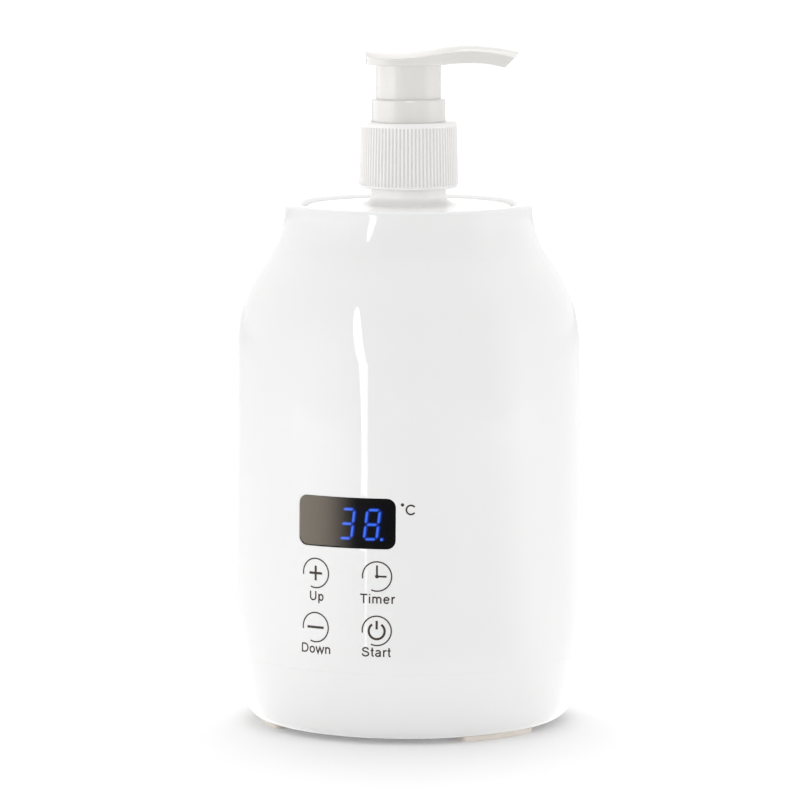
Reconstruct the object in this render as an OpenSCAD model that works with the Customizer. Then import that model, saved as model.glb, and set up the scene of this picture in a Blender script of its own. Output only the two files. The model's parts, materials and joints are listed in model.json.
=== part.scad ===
// Massage oil warmer: a heated housing that holds a pump bottle of oil.
// Millimetres. +Z is up, the origin is on the table under the middle of the base,
// and the control panel faces -Y. Angles round the axis start at the panel.

/* [Housing] */
// Outside diameter at the foot of the wall, above the base blend
body_d = 120.4; // [116:0.2:130]
// Lean of the wall from vertical in degrees
wall_draft = 1.03; // [0:0.01:1.6]
// Height where the straight wall ends and the shoulder begins
shoulder_z = 128.3; // [120:0.5:150]
// Radius of the shoulder's outward curve
shoulder_r = 53.8; // [46:0.2:62]
// Radius of the inward curve under the rim
waist_r = 26.3; // [24:0.1:38]
// Outside diameter of the rim
rim_d = 84.2; // [83.4:0.2:92]
// Rounding of the rim's outer edge
rim_round = 1.4; // [0.6:0.1:2]
// Thickness of the moulded walls
wall = 2.4; // [1.8:0.1:2.6]
// Thickness of the ring round the mouth
mouth_t = 3.2; // [2.4:0.1:4]
// Height of the seam between the housing and the base bowl
seam_z = 25; // [22:0.5:28]

/* [Base] */
// Diameter of the flat underside
base_d = 101.8; // [99:0.2:106]
// Height of the curve from the underside to the wall
blend_h = 28.1; // [27:0.1:31]
// Height of the foot pads
foot_h = 2; // [1.2:0.1:4]
// Arc that each foot pad covers in degrees
foot_span = 35.5; // [20:0.5:50]
// Width of a foot pad
foot_w = 8.5; // [6:0.1:11]
// Height of the tongue that locates the bowl in the housing
tongue_h = 4; // [2:0.1:6]
// Diameter of the long screws that hold the base
base_screw_d = 2.9; // [2.5:0.1:3.5]

/* [Display] */
// Width of the smoked window
window_w = 34.5; // [26:0.1:38]
// Height of the smoked window
window_h = 17.1; // [15:0.1:20]
// Corner radius of the window
window_corner = 3; // [1:0.1:4]
// Thickness of the window
window_t = 1.2; // [0.8:0.1:1.4]
// Height of the middle of the window
window_z = 75.4; // [72:0.1:88]
// Height of a digit
digit_h = 10.9; // [8:0.1:12]
// Width of a digit
digit_w = 5.35; // [5:0.05:7]
// Distance from one digit to the next
digit_pitch = 8.6; // [7.6:0.1:9]
// Width of one segment of a digit
segment_w = 1.15; // [0.8:0.05:1.5]
// Lean of the digits in degrees
digit_slant = 6.5; // [0:0.5:12]

/* [Touch keys] */
// Middle of the left keys from the panel's middle
key_left = 10.4; // [8:0.1:13]
// Middle of the right keys from the panel's middle
key_right = 11.2; // [8:0.1:13]
// Height of the upper keys
key_upper_z = 57.9; // [54:0.1:62]
// Height of the lower keys
key_lower_z = 39.8; // [38:0.1:46]
// Diameter of a key's sensing pad
key_pad_d = 8; // [5:0.1:10]

/* [Bottle] */
// Outside diameter of the bottle
bottle_d = 70.6; // [66:0.2:71]
// Wall of the bottle
bottle_wall = 1.2; // [0.8:0.1:2]
// Outside diameter of the neck below the thread
neck_d = 25.4; // [24:0.1:26]
// Height of the neck above the bottle's shoulder
neck_h = 23; // [21:0.1:28]
// Wall of the neck
neck_wall = 1.8; // [1.2:0.1:2.2]
// Depth of the bottle's shoulder below the rim
bottle_sink = 0.6; // [0.5:0.1:4]
// Rise of the thread in one turn
thread_pitch = 4.2; // [3:0.1:5]
// Height of the thread's rib
thread_rise = 0.8; // [0.4:0.05:0.9]

/* [Heater] */
// Wall of the heating cup
cup_wall = 1; // [0.8:0.1:1.2]
// Gap between the bottle and the heating cup
bottle_gap = 0.6; // [0.4:0.1:0.8]
// Thickness of the heater film
film_t = 0.55; // [0.3:0.05:0.7]
// Height of the heater film
film_h = 88; // [40:1:110]
// Thickness of the insulation sleeve
sleeve_t = 2.4; // [1.2:0.1:2.5]
// Height of the cup's floor above the base bowl's floor
cup_lift = 19.4; // [18.8:0.2:22]

/* [Pump] */
// Diameter of the ribbed cap at its lower edge
cap_d = 33.8; // [32:0.1:37]
// Diameter of the ribbed cap at its top
cap_top_d = 32.6; // [31:0.1:36]
// Height of the ribbed cap
cap_h = 22.3; // [21.6:0.1:26]
// Bare neck below the cap
neck_show = 5.8; // [5:0.1:9]
// Diameter of the collar above the cap
collar_d = 25; // [24:0.1:25.4]
// Height of the collar above the cap
collar_h = 7.8; // [5:0.1:10]
// Diameter of the head's skirt
skirt_d = 22; // [20:0.1:22.4]
// Height of skirt that shows between the collar and the head
skirt_show = 11.5; // [10.5:0.1:15]
// Stroke of the pump
stroke = 9; // [6:0.1:9.4]
// Outside diameter of the pump cylinder
cylinder_d = 16.8; // [15:0.1:17.6]
// Length of the pump cylinder below its flange
cylinder_h = 41; // [40:0.5:60]
// Outside diameter of the stem
stem_d = 7.2; // [6:0.1:8]
// Outside diameter of the dip tube
dip_d = 6; // [5:0.1:6.6]
// Wire diameter of the return spring
spring_wire = 0.9; // [0.6:0.05:1.1]
// Turns of the return spring
spring_turns = 6; // [4:1:8]

/* [Pump head] */
// Direction of the spout round the axis in degrees
spout_turn = 21; // [0:1:45]
// Reach of the spout from the axis
spout_reach = 34.9; // [28:0.1:45]
// Half width of the spout at its tip
spout_half = 4.4; // [4:0.1:6]
// Half length of the finger pad
pad_half_l = 14.6; // [13:0.1:18]
// Half width of the finger pad
pad_half_w = 12.8; // [12:0.1:16]
// Height of the finger pad above the skirt
pad_h = 4.3; // [3.6:0.1:6]
// Height of the spout's crest above the skirt
crest_h = 6.4; // [5.6:0.1:9]
// Distance of the crest from the axis
crest_x = 20.5; // [17:0.1:24]
// Drop of the spout from its crest to its tip
tip_drop = 2.5; // [1:0.1:3]
// Drop from the ridge of the head to its edge
crown = 1.9; // [1:0.1:2.2]
// Diameter of the oil channel in the head
channel_d = 2.6; // [1.6:0.1:3]

/* [Power] */
// Diameter of the plug hole of the power jack
jack_bore = 5.5; // [5.5:0.1:6.5]
// Diameter of the power jack's centre pin
jack_pin_d = 2.1; // [1.65:0.05:2.5]
// Height of the power jack
jack_z = 15; // [13:0.5:17]

/* [Hidden] */

$fn = 96;
arc_steps = 18;
eps = 0.01;
// Overshoot of a cut past the face that it opens
over = 1;

// Clearances
snug = 0.05;
running = 0.06;
slip = 0.3;
air = 1;

// Housing outline
body_r = body_d / 2;
base_r = base_d / 2;
rim_r = rim_d / 2;
blend_w = body_r - base_r;
blend_top = foot_h + blend_h;
top_r = body_r - (shoulder_z - blend_top) * tan(wall_draft);
shoulder_c = [top_r - shoulder_r * cos(wall_draft), shoulder_z - shoulder_r * sin(wall_draft)];
lean = acos((rim_r + waist_r - shoulder_c.x) / (shoulder_r + waist_r));
waist_c = shoulder_c + (shoulder_r + waist_r) * [cos(lean), sin(lean)];
rim_z = waist_c.y + rim_round;
mouth_under = rim_z - mouth_t;
mouth_round = mouth_t * 4 / 5;
floor_z = foot_h + wall;
foot_inset = 0.4;
foot_angles = [60, 180, 300];

function wall_r(z) = body_r - (z - blend_top) * tan(wall_draft);
function round_at(a, r) = [r * sin(a), -r * cos(a)];
function arc(c, r, a0, a1) =
    [for (k = [0:arc_steps]) let (a = a0 + (a1 - a0) * k / arc_steps) c + r * [cos(a), sin(a)]];
function seam_angle(inset) = acos((blend_top - seam_z) / (blend_h - inset));
function blend(inset, t0, t1) = [for (k = [0:arc_steps]) let (t = t0 + (t1 - t0) * k / arc_steps)
    [base_r + (blend_w - inset) * sin(t), blend_top - (blend_h - inset) * cos(t)]];
function skin(inset, last) = concat(
    blend(inset, seam_angle(inset), 90),
    arc(shoulder_c, shoulder_r - inset, wall_draft, lean),
    arc(waist_c, waist_r + inset, 180 + lean, 180 + last));
function blend_r(z) = base_r + blend_w * sqrt(1 - pow((blend_top - z) / blend_h, 2));
function backwards(list) = [for (k = [len(list) - 1:-1:0]) list[k]];

// Bottle and heater stack, from the axis outwards
bottle_r = bottle_d / 2;
cup_in = bottle_r + bottle_gap;
mouth_gap = 0.7;
mouth_r = cup_in + mouth_gap;
cup_r = cup_in + cup_wall;
film_r = cup_r + snug + film_t;
sleeve_in = film_r + slip;
sleeve_r = sleeve_in + sleeve_t;
sleeve_drop = 7;
seal_t = 1.2;
cup_flange_r = rim_r - wall - 2 * snug;
cup_flange_z = mouth_under - seal_t;
cup_floor_z = floor_z + cup_lift;
cup_floor_t = 1.2;
cup_under = cup_floor_z - cup_floor_t;
film_up = 8;
film_z = cup_floor_z + film_up;
film_tail = 2;

// Seam between the housing and the base bowl
tongue_t = 1.1;
tongue_out = body_r - wall / 2 - snug * 2;
tongue_in = tongue_out - tongue_t;

// Long screws that join the bowl to posts in the housing
screw_angles = [32, 120, -120, -32];
post_r = 3.5;
post_ring = sleeve_r + air + post_r;
post_bottom = 14;
post_top = 60;
rib_t = 2;
screw_head_d = 5.8;
screw_head_h = 2;
screw_sink = 2;
screw_len = 20;
// Shares of a screw head's width that its cross slot takes
slot_reach = 0.7;
slot_width = 0.16;

// Control panel stack, from the sleeve outwards to the wall
board_room = 3.6;
board_t = 1.6;
board_w = 44;
board_edge = 6;
panel_wall = wall_r(window_z) - wall;
board_y = -(sleeve_r + board_room + board_t);
board_low = key_lower_z - key_pad_d / 2 - board_edge;
board_high = window_z + window_h / 2 + board_edge;
board_hole_edge = 3;
board_hole_x = board_w / 2 - board_hole_edge;
board_hole_z = [board_low + board_hole_edge, board_high - board_hole_edge];
board_screw_d = 2.4;
board_boss_d = 5.6;
board_screw_len = 7;
board_head_d = 4.4;
board_head_h = 1.6;
window_ledge = 1.4;
module_w = window_w - 2 * window_ledge - 2 * slip;
module_h = window_h - 2 * window_ledge - 2 * slip;
module_y = -(sqrt(panel_wall * panel_wall - module_w * module_w / 4) - slip);
digit_first = -8.3;
digit_drop = 0.5;
segment_gap = 0.3;
dot_d = 1.4;
dot_out = 1.1;

// Pump heights, from the bottle's shoulder upwards
bottle_top = rim_z - bottle_sink;
neck_r = neck_d / 2;
neck_in = neck_r - neck_wall;
neck_top = bottle_top + neck_h;
bottle_foot = 4;
bottle_edge = 1.8;
shoulder_fall = 0.4;
neck_flare = [5.3, 3.2];
thread_r = 0.75;
thread_turns = 1.5;
thread_up = 3;
thread_rings = 24;
spring_rings = 16;
wire_sides = 6;
gasket_t = 1.2;
flange_t = 1.2;
flange_z = neck_top + gasket_t;
guide_z = flange_z + flange_t;
collar_flange_t = 1;
cap_z = bottle_top + neck_show;
cap_top = cap_z + cap_h;
cap_in = neck_r + thread_rise + slip;
cap_ceiling = guide_z + collar_flange_t + slip / 2;
collar_r = collar_d / 2;
collar_top = cap_top + collar_h;
collar_flange_r = cap_in - slip;
skirt_r = skirt_d / 2;
skirt_wall = 1.4;
skirt_roof = 1;
skirt_root = 0.4;
collar_bore = skirt_r + running;
collar_round = 0.8;
stop_gap = 0.5;
skirt_low = guide_z + stroke + stop_gap;
head_z = collar_top + skirt_show;
cylinder_r = cylinder_d / 2;
cylinder_wall = 1.2;
cylinder_in = cylinder_r - cylinder_wall;
cylinder_low = flange_z - cylinder_h;
guide_h = 4;
stem_r = stem_d / 2;
stem_wall = 1.2;
piston_r = cylinder_in - running;
piston_h = 9;
piston_top = guide_z - guide_h - stop_gap;
piston_low = piston_top - piston_h;
socket_wall = 1.2;
socket_h = 12;
dip_r = dip_d / 2;
dip_wall = 0.8;
dip_socket_h = 9;
dip_clear = 4;
dip_slant = 45;
ball_r = 2.4;
seat_r = 2;
seat_t = 2;
seat_z = cylinder_low + seat_t;
ball_z = seat_z + sqrt(ball_r * ball_r - seat_r * seat_r) + snug;
cage_h = 6;
lip_h = 2;
lip_slope = 1;
spring_r = cylinder_in - slip - spring_wire;
spring_low = seat_z + cage_h;

// Power parts on the bowl's floor
jack_wall = 1.3;
jack_lip = 1.6;
jack_r = jack_bore / 2 + jack_wall;
jack_face = 3;
jack_y = blend_r(jack_z) - jack_face;
jack_flange_r = jack_r + jack_lip;
jack_flange_t = 1.2;
jack_len = 12;
jack_depth = 9.5;
jack_boss_r = jack_flange_r + wall;
pin_sink = 1;
nut_lip = 2;
nut_r = jack_r + nut_lip;
nut_t = 2.4;
power_w = 44;
power_l = 34;
power_t = 1.6;
standoff_h = 4.4;
standoff_r = 2.8;
standoff_edge = 3.4;
standoff_x = power_w / 2 - standoff_edge;
standoff_y = power_l / 2 - standoff_edge;
power_z = floor_z + standoff_h;
power_top = power_z + power_t;
support_plate = 2;
support_r = sleeve_r;
leg_r = 3.2;
leg_out = [3.6, 4];
leg_at = [power_w / 2 + leg_out.x, power_l / 2 + leg_out.y];
cradle_up = 5;
fuse_r = 2;
fuse_l = 14;
sensor_r = 2.6;
sensor_h = 3;
sensor_x = 8;
wire_d = 1.4;
sensor_wire_d = 0.9;
lead_at = [-4, 4];
lead_dip = 4;
ribbon_w = 10;
ribbon_t = 0.9;
ribbon_rise = 1.2;
main_chip = [9, 1.4, 9];
small_part = [2, 0.8, 1.2];
small_part_at = [-12, -6, 6, 12];
board_plug = [14, 2, 4];
capacitor_r = 3.5;
capacitor_h = 6;
capacitor_at = [-12, 9];
coil = [10, 10, 5];
coil_at = [-16, -8];
driver_chip = [8, 7, 2.2];
driver_at = [4, -4];
power_plug = [14, 5, 3.6];
power_plug_edge = 1;
power_plug_y = power_plug_edge - power_l / 2;
buzzer_r = 4.5;
buzzer_h = 5;
buzzer_hole_r = 1;
buzzer_at = [11, 9];

// Shared shapes
module ring(outer, inner, z0, z1) {
    difference() {
        translate([0, 0, z0]) cylinder(r = outer, h = z1 - z0);
        translate([0, 0, z0 - eps]) cylinder(r = inner, h = z1 - z0 + 2 * eps);
    }
}

module rounded_plate(w, h, r) {
    square([w - 2 * r, h], center = true);
    square([w, h - 2 * r], center = true);
    for (x = [-1, 1], y = [-1, 1]) translate([x * (w / 2 - r), y * (h / 2 - r)]) circle(r);
}

// Turns a flat drawing to face the front, from depth y0 (nearer the viewer) to y1
module facing(y0, y1) {
    translate([0, y1, 0]) rotate([90, 0, 0]) linear_extrude(y1 - y0) children();
}

module along_y(x, z, y0, y1, r) {
    translate([x, y0, z]) rotate([-90, 0, 0]) cylinder(r = r, h = y1 - y0);
}

// Solid cone that follows the wall at a given inset from the outside
module wall_cone(inset) {
    translate([0, 0, blend_top])
        cylinder(r1 = body_r - inset, r2 = top_r - inset, h = shoulder_z - blend_top);
}

module block(low, high) {
    translate(low) cube(high - low);
}

module rod(a, b, d) {
    v = b - a;
    translate(a) rotate([0, acos(v.z / norm(v)), atan2(v.y, v.x)]) cylinder(h = norm(v), d = d);
}

module wire(points, d) {
    for (k = [0:len(points) - 2]) rod(points[k], points[k + 1], d);
    for (k = [1:len(points) - 2]) translate(points[k]) sphere(d = d);
}

// Closed tube along a helix, with a ring of points at each step
module helix(radius, wire_r, z0, rise, turns, rings, sides) {
    steps = turns * rings;
    slope = atan2(rise, 360 * radius * PI / 180);
    points = [for (k = [0:steps]) let (a = 360 * k / rings)
        for (s = [0:sides - 1]) let (b = 360 * s / sides)
            let (out = radius + wire_r * cos(b), up = wire_r * sin(b))
                [out * cos(a) + up * sin(slope) * sin(a), out * sin(a) - up * sin(slope) * cos(a),
                    z0 + rise * k / rings + up * cos(slope)]];
    side_faces = [for (k = [0:steps - 1], s = [0:sides - 1]) let (t = (s + 1) % sides, j = k * sides)
        each [[j + s, j + t, j + sides + t], [j + s, j + sides + t, j + sides + s]]];
    caps = [for (s = [1:sides - 2]) each [[0, s + 1, s],
        [steps * sides, steps * sides + s, steps * sides + s + 1]]];
    polyhedron(points, concat(side_faces, caps), convexity = 10);
}

// Housing
module housing_profile() {
    last = asin((waist_c.y - mouth_under) / (waist_r + wall));
    polygon(concat(
        skin(0, 0),
        arc([rim_r - rim_round, waist_c.y], rim_round, 0, 90),
        arc([mouth_r + mouth_round, rim_z - mouth_round], mouth_round, 90, 180),
        [[mouth_r, mouth_under]],
        backwards(skin(wall, last))));
}

module window_shape(shrink) {
    translate([0, window_z]) rounded_plate(window_w - 2 * shrink, window_h - 2 * shrink,
        max(window_corner - shrink, window_corner / 4));
}

module board_bosses() {
    for (x = [-board_hole_x, board_hole_x], z = board_hole_z) {
        reach = sqrt(pow(wall_r(z) - wall / 2, 2) - pow(abs(x) + board_boss_d / 2, 2));
        along_y(x, z, -reach, board_y, board_boss_d / 2);
    }
}

module screw_posts() {
    for (a = screw_angles) {
        translate(concat(round_at(a, post_ring), post_bottom))
            cylinder(r = post_r, h = post_top - post_bottom);
        rib_low = seam_z + tongue_h + air;
        rotate([0, 0, a]) block([-rib_t / 2, -(wall_r(post_top) - wall / 2), rib_low],
            [rib_t / 2, -post_ring, post_top]);
    }
}

module housing_shell() {
    color("white") difference() {
        union() {
            rotate_extrude() housing_profile();
            board_bosses();
            screw_posts();
        }
        ring(tongue_out + snug * 2, tongue_in - slip, seam_z - over, seam_z + tongue_h + slip);
        facing(-body_r, board_y) window_shape(window_ledge);
        difference() {
            facing(-body_r, board_y) window_shape(0);
            wall_cone(window_t + snug);
        }
        for (x = [-board_hole_x, board_hole_x], z = board_hole_z)
            along_y(x, z, board_y - board_screw_len, board_y + eps, board_screw_d / 2 + snug);
        for (a = screw_angles)
            translate(concat(round_at(a, post_ring), post_bottom - eps))
                cylinder(r = base_screw_d / 2 + snug, h = screw_len);
    }
}

// Base
module bowl_profile() {
    polygon(concat(
        [[0, foot_h]],
        blend(0, 0, seam_angle(0)),
        [[tongue_out, seam_z], [tongue_out, seam_z + tongue_h], [tongue_in, seam_z + tongue_h]],
        backwards(blend(wall, 0, seam_angle(wall))),
        [[0, floor_z]]));
}

module base_bowl() {
    boss_r = screw_head_d / 2 + wall / 2;
    color("white") difference() {
        union() {
            rotate_extrude() bowl_profile();
            for (a = screw_angles) translate(concat(round_at(a, post_ring), foot_h))
                cylinder(r = boss_r, h = post_bottom - foot_h - snug);
            for (x = [-standoff_x, standoff_x], y = [-standoff_y, standoff_y])
                translate([x, y, foot_h]) cylinder(r = standoff_r, h = power_z - foot_h);
            intersection() {
                along_y(0, jack_z, jack_y - wall * 2, body_r, jack_boss_r);
                rotate_extrude() polygon(concat([[0, foot_h]], blend(0, 0, seam_angle(0)), [[0, seam_z]]));
            }
        }
        for (a = screw_angles) translate(concat(round_at(a, post_ring), 0)) {
            cylinder(r = base_screw_d / 2 + snug, h = post_bottom + over);
            cylinder(r = screw_head_d / 2 + snug, h = foot_h + screw_sink + screw_head_h);
        }
        for (x = [-standoff_x, standoff_x], y = [-standoff_y, standoff_y])
            translate([x, y, floor_z]) cylinder(d = board_screw_d + 2 * snug, h = standoff_h + over);
        along_y(0, jack_z, jack_y, body_r, jack_flange_r + slip);
        along_y(0, jack_z, jack_y - wall * 3, body_r, jack_r + snug);
    }
}

module foot_pads() {
    foot_out = base_r - foot_inset;
    color("wheat") for (a = foot_angles) rotate([0, 0, a - 90 - foot_span / 2])
        rotate_extrude(angle = foot_span) translate([foot_out - foot_w, 0]) square([foot_w, foot_h]);
}

module pan_screw(head_d, head_h, shank_d, length) {
    difference() {
        translate([0, 0, -head_h]) cylinder(d = head_d, h = head_h);
        for (a = [0, 90]) rotate([0, 0, a]) translate([0, 0, -head_h])
            cube([head_d * slot_reach, head_d * slot_width, head_h], center = true);
    }
    cylinder(d = shank_d, h = length);
}

module base_screws() {
    color("silver") for (a = screw_angles)
        translate(concat(round_at(a, post_ring), foot_h + screw_sink + screw_head_h))
            pan_screw(screw_head_d, screw_head_h, base_screw_d, screw_len);
}

// Display and control board
module display_window() {
    color([0.05, 0.05, 0.05]) intersection() {
        facing(-body_r, board_y) window_shape(snug);
        difference() {
            wall_cone(snug);
            wall_cone(window_t);
        }
    }
}

module display_module() {
    color("dimgray") block([-module_w / 2, module_y, window_z - module_h / 2],
        [module_w / 2, board_y, window_z + module_h / 2]);
}

// One bar of a digit with pointed ends, along X or Z
module segment(length, upright) {
    l = length / 2;
    h = segment_w / 2;
    bar = [[-l, 0], [-l + h, h], [l - h, h], [l, 0], [l - h, -h], [-l + h, -h]];
    polygon(upright ? [for (p = bar) [p.y, p.x]] : bar);
}

// One lit place of the display: seven bars and a dot, drawn leaning
module digit() {
    w = digit_w - segment_w;
    h = (digit_h - segment_w) / 2;
    lean_by = tan(digit_slant);
    multmatrix([[1, lean_by, 0, 0], [0, 1, 0, 0], [0, 0, 1, 0], [0, 0, 0, 1]]) {
        for (z = [-h, 0, h]) translate([0, z]) segment(w - segment_gap, false);
        for (x = [-w / 2, w / 2], z = [-h / 2, h / 2]) translate([x, z]) segment(h - segment_gap, true);
    }
    translate([digit_w / 2 - h * lean_by + dot_out, -h]) circle(d = dot_d);
}

module digit_segments() {
    color("blue") intersection() {
        for (k = [0:2]) facing(-body_r, module_y)
            translate([digit_first + k * digit_pitch, window_z - digit_drop]) digit();
        wall_cone(window_t + slip / 2);
    }
}

module control_board() {
    color("darkgreen") difference() {
        block([-board_w / 2, board_y, board_low], [board_w / 2, board_y + board_t, board_high]);
        for (x = [-board_hole_x, board_hole_x], z = board_hole_z)
            along_y(x, z, board_y - over, board_y + board_t + over, board_screw_d / 2 + snug);
    }
}

module control_chips() {
    back = board_y + board_t;
    color("black") {
        translate([-main_chip.x / 2, back, window_z - main_chip.z / 2]) cube(main_chip);
        for (x = small_part_at) translate([x, back, key_upper_z]) cube(small_part);
        translate([-board_plug.x / 2, back, board_low + board_plug.y]) cube(board_plug);
    }
}

module board_screws() {
    color("silver") for (x = [-board_hole_x, board_hole_x], z = board_hole_z)
        translate([x, board_y + board_t, z]) rotate([90, 0, 0])
            pan_screw(board_head_d, board_head_h, board_screw_d, board_screw_len);
}

module touch_pads() {
    color("gray") intersection() {
        for (x = [-key_left, key_right], z = [key_upper_z, key_lower_z])
            along_y(x, z, -body_r, board_y, key_pad_d / 2);
        wall_cone(wall + snug);
    }
}

// Heater
module mouth_seal() {
    color("lightgray") ring(cup_flange_r - snug, mouth_r + slip, cup_flange_z, mouth_under);
}

module heating_cup() {
    color("silver") difference() {
        union() {
            translate([0, 0, cup_under]) cylinder(r = cup_r, h = cup_flange_z - cup_under);
            translate([0, 0, cup_flange_z - cup_wall]) cylinder(r = cup_flange_r, h = cup_wall);
        }
        translate([0, 0, cup_floor_z]) cylinder(r = cup_in, h = cup_flange_z);
    }
}

module heater_film() {
    color("orange") ring(film_r, cup_r + snug, film_z, film_z + film_h);
}

module insulation_sleeve() {
    color("beige") ring(sleeve_r, sleeve_in, film_z + film_tail, cup_flange_z - sleeve_drop);
}

module cup_support() {
    plate_z = cup_under - support_plate;
    cradle_h = support_plate + cradle_up;
    color("ivory") {
        ring(support_r, fuse_l, plate_z, cup_under);
        ring(support_r, cup_r + slip, plate_z, plate_z + cradle_h);
        for (x = [-1, 1], y = [-1, 1]) translate([x * leg_at.x, y * leg_at.y, floor_z])
            cylinder(r = leg_r, h = plate_z - floor_z + eps);
    }
}

module thermal_fuse() {
    color("tan") along_y(-sensor_x / 2, cup_under - fuse_r - snug, -fuse_l / 2, fuse_l / 2, fuse_r);
}

module temperature_sensor() {
    color("dimgray") translate([sensor_x, 0, cup_under - sensor_h]) cylinder(r = sensor_r, h = sensor_h);
}

// Power parts
module power_board() {
    color("darkgreen") difference() {
        block([-power_w / 2, -power_l / 2, power_z], [power_w / 2, power_l / 2, power_top]);
        for (x = [-standoff_x, standoff_x], y = [-standoff_y, standoff_y])
            translate([x, y, power_z - over]) cylinder(d = board_screw_d + 2 * snug, h = power_t + 2 * over);
    }
}

module power_components() {
    color("royalblue") translate(concat(capacitor_at, power_top)) cylinder(r = capacitor_r, h = capacitor_h);
    color("black") {
        translate(concat(coil_at, power_top)) cube(coil);
        translate(concat(driver_at, power_top)) cube(driver_chip);
        translate([-power_plug.x / 2, power_plug_y, power_top]) cube(power_plug);
    }
}

module buzzer() {
    color("black") translate(concat(buzzer_at, power_top)) difference() {
        cylinder(r = buzzer_r, h = buzzer_h);
        translate([0, 0, buzzer_h / 2]) cylinder(r = buzzer_hole_r, h = buzzer_h);
    }
}

module power_board_screws() {
    color("silver") for (x = [-standoff_x, standoff_x], y = [-standoff_y, standoff_y])
        translate([x, y, power_top]) mirror([0, 0, 1])
            pan_screw(board_head_d, board_head_h, board_screw_d, power_t + standoff_h - air);
}

module power_jack() {
    color("black") difference() {
        union() {
            along_y(0, jack_z, jack_y, jack_y + jack_flange_t, jack_flange_r);
            along_y(0, jack_z, jack_y - jack_len, jack_y + eps, jack_r);
        }
        along_y(0, jack_z, jack_y + jack_flange_t - jack_depth, body_r, jack_bore / 2);
    }
}

module jack_pin() {
    pin_low = jack_y + jack_flange_t - jack_depth;
    color("gold") along_y(0, jack_z, pin_low, jack_y - pin_sink, jack_pin_d / 2);
}

module jack_nut() {
    boss_end = jack_y - wall * 2;
    color("silver") difference() {
        translate([0, boss_end - nut_t, jack_z]) rotate([-90, 0, 0]) cylinder(r = nut_r, h = nut_t, $fn = 6);
        along_y(0, jack_z, boss_end - nut_t - over, boss_end + over, jack_r + snug);
    }
}

// Leads that stay inside the base
module heater_leads() {
    start = film_r + wire_d / 2 + snug;
    out = sleeve_r + wire_d + air;
    low = power_top + wire_d / 2 + snug;
    color("red") for (y = lead_at) wire([
        [-start, y, film_z + film_tail / 2], [-out, y, film_z - lead_dip],
        [-out, y, low + lead_dip], [air - power_w / 2, y / 2, low]], wire_d);
}

module sensor_leads() {
    color("gold") for (y = [-1, 1])
        rod([sensor_x, y, power_top + driver_chip.z], [sensor_x, y, cup_under - sensor_h], sensor_wire_d);
}

module ribbon_cable() {
    half = ribbon_w / 2;
    front = board_y + board_t + board_plug.y;
    low = power_top + ribbon_rise;
    color("gray") {
        block([-half, front, low], [half, front + ribbon_t, board_low + board_plug.y + board_plug.z]);
        block([-half, front, low], [half, power_plug_y, low + ribbon_t]);
    }
}

// Bottle
module bottle_outside() {
    edge = bottle_edge;
    foot = bottle_foot;
    polygon(concat(
        [[0, cup_floor_z]],
        arc([bottle_r - foot, cup_floor_z + foot], foot, -90, 0),
        arc([bottle_r - edge, bottle_top - shoulder_fall - edge], edge, 0, 90),
        [for (k = [0:arc_steps]) let (t = 90 * k / arc_steps)
            [neck_r + neck_flare.x * (1 - sin(t)), bottle_top + neck_flare.y * (1 - cos(t))]],
        [[neck_r, neck_top], [0, neck_top]]));
}

module bottle_inside() {
    edge = max(bottle_edge - bottle_wall, bottle_wall / 4);
    foot = bottle_foot - bottle_wall;
    low = cup_floor_z + bottle_wall;
    high = bottle_top - bottle_wall - shoulder_fall;
    polygon(concat(
        [[0, low]],
        arc([bottle_r - bottle_wall - foot, low + foot], foot, -90, 0),
        arc([bottle_r - bottle_wall - edge, high - edge], edge, 0, 90),
        [[neck_in, high], [neck_in, neck_top + over], [0, neck_top + over]]));
}

module bottle() {
    color("whitesmoke") difference() {
        union() {
            rotate_extrude() bottle_outside();
            helix(neck_r + thread_rise - thread_r, thread_r, cap_z + thread_up,
                thread_pitch, thread_turns, thread_rings, wire_sides);
        }
        rotate_extrude() bottle_inside();
    }
}

// Pump
module closure_cap() {
    edge = 0.7;
    color("white") difference() {
        translate([0, 0, cap_z]) rotate_extrude() polygon([[0, 0], [cap_d / 2 - edge, 0], [cap_d / 2, edge],
            [cap_top_d / 2, cap_h - edge], [cap_top_d / 2 - edge, cap_h], [0, cap_h]]);
        translate([0, 0, cap_z - over]) cylinder(r = cap_in, h = cap_ceiling - cap_z + over);
        translate([0, 0, cap_ceiling - over]) cylinder(r = collar_r + slip, h = cap_h);
    }
}

module pump_collar() {
    color("white") rotate_extrude() polygon(concat(
        [[collar_bore, guide_z], [collar_flange_r, guide_z], [collar_flange_r, guide_z + collar_flange_t],
            [collar_r, guide_z + collar_flange_t]],
        arc([collar_r - collar_round, collar_top - collar_round], collar_round, 0, 90),
        [[collar_bore, collar_top]]));
}

module pump_cylinder() {
    socket_r = dip_r + snug + cylinder_wall;
    color("white") difference() {
        union() {
            translate([0, 0, flange_z]) cylinder(r = collar_flange_r, h = flange_t);
            translate([0, 0, cylinder_low]) cylinder(r = cylinder_r, h = flange_z - cylinder_low + eps);
            translate([0, 0, cylinder_low - dip_socket_h]) cylinder(r = socket_r, h = dip_socket_h + eps);
        }
        translate([0, 0, spring_low]) cylinder(r = cylinder_in, h = guide_z);
        translate([0, 0, seat_z]) cylinder(r = ball_r + slip, h = cage_h + over);
        translate([0, 0, cylinder_low - over]) cylinder(r = seat_r, h = seat_t + 2 * over);
        translate([0, 0, cylinder_low - dip_socket_h - over])
            cylinder(r = dip_r + snug, h = dip_socket_h + over);
    }
}

module stem_guide() {
    color("white") ring(cylinder_in - snug, stem_r + running, guide_z - guide_h, guide_z);
}

module neck_gasket() {
    color("lightgray") ring(neck_r, cylinder_r + slip, neck_top, flange_z);
}

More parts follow.
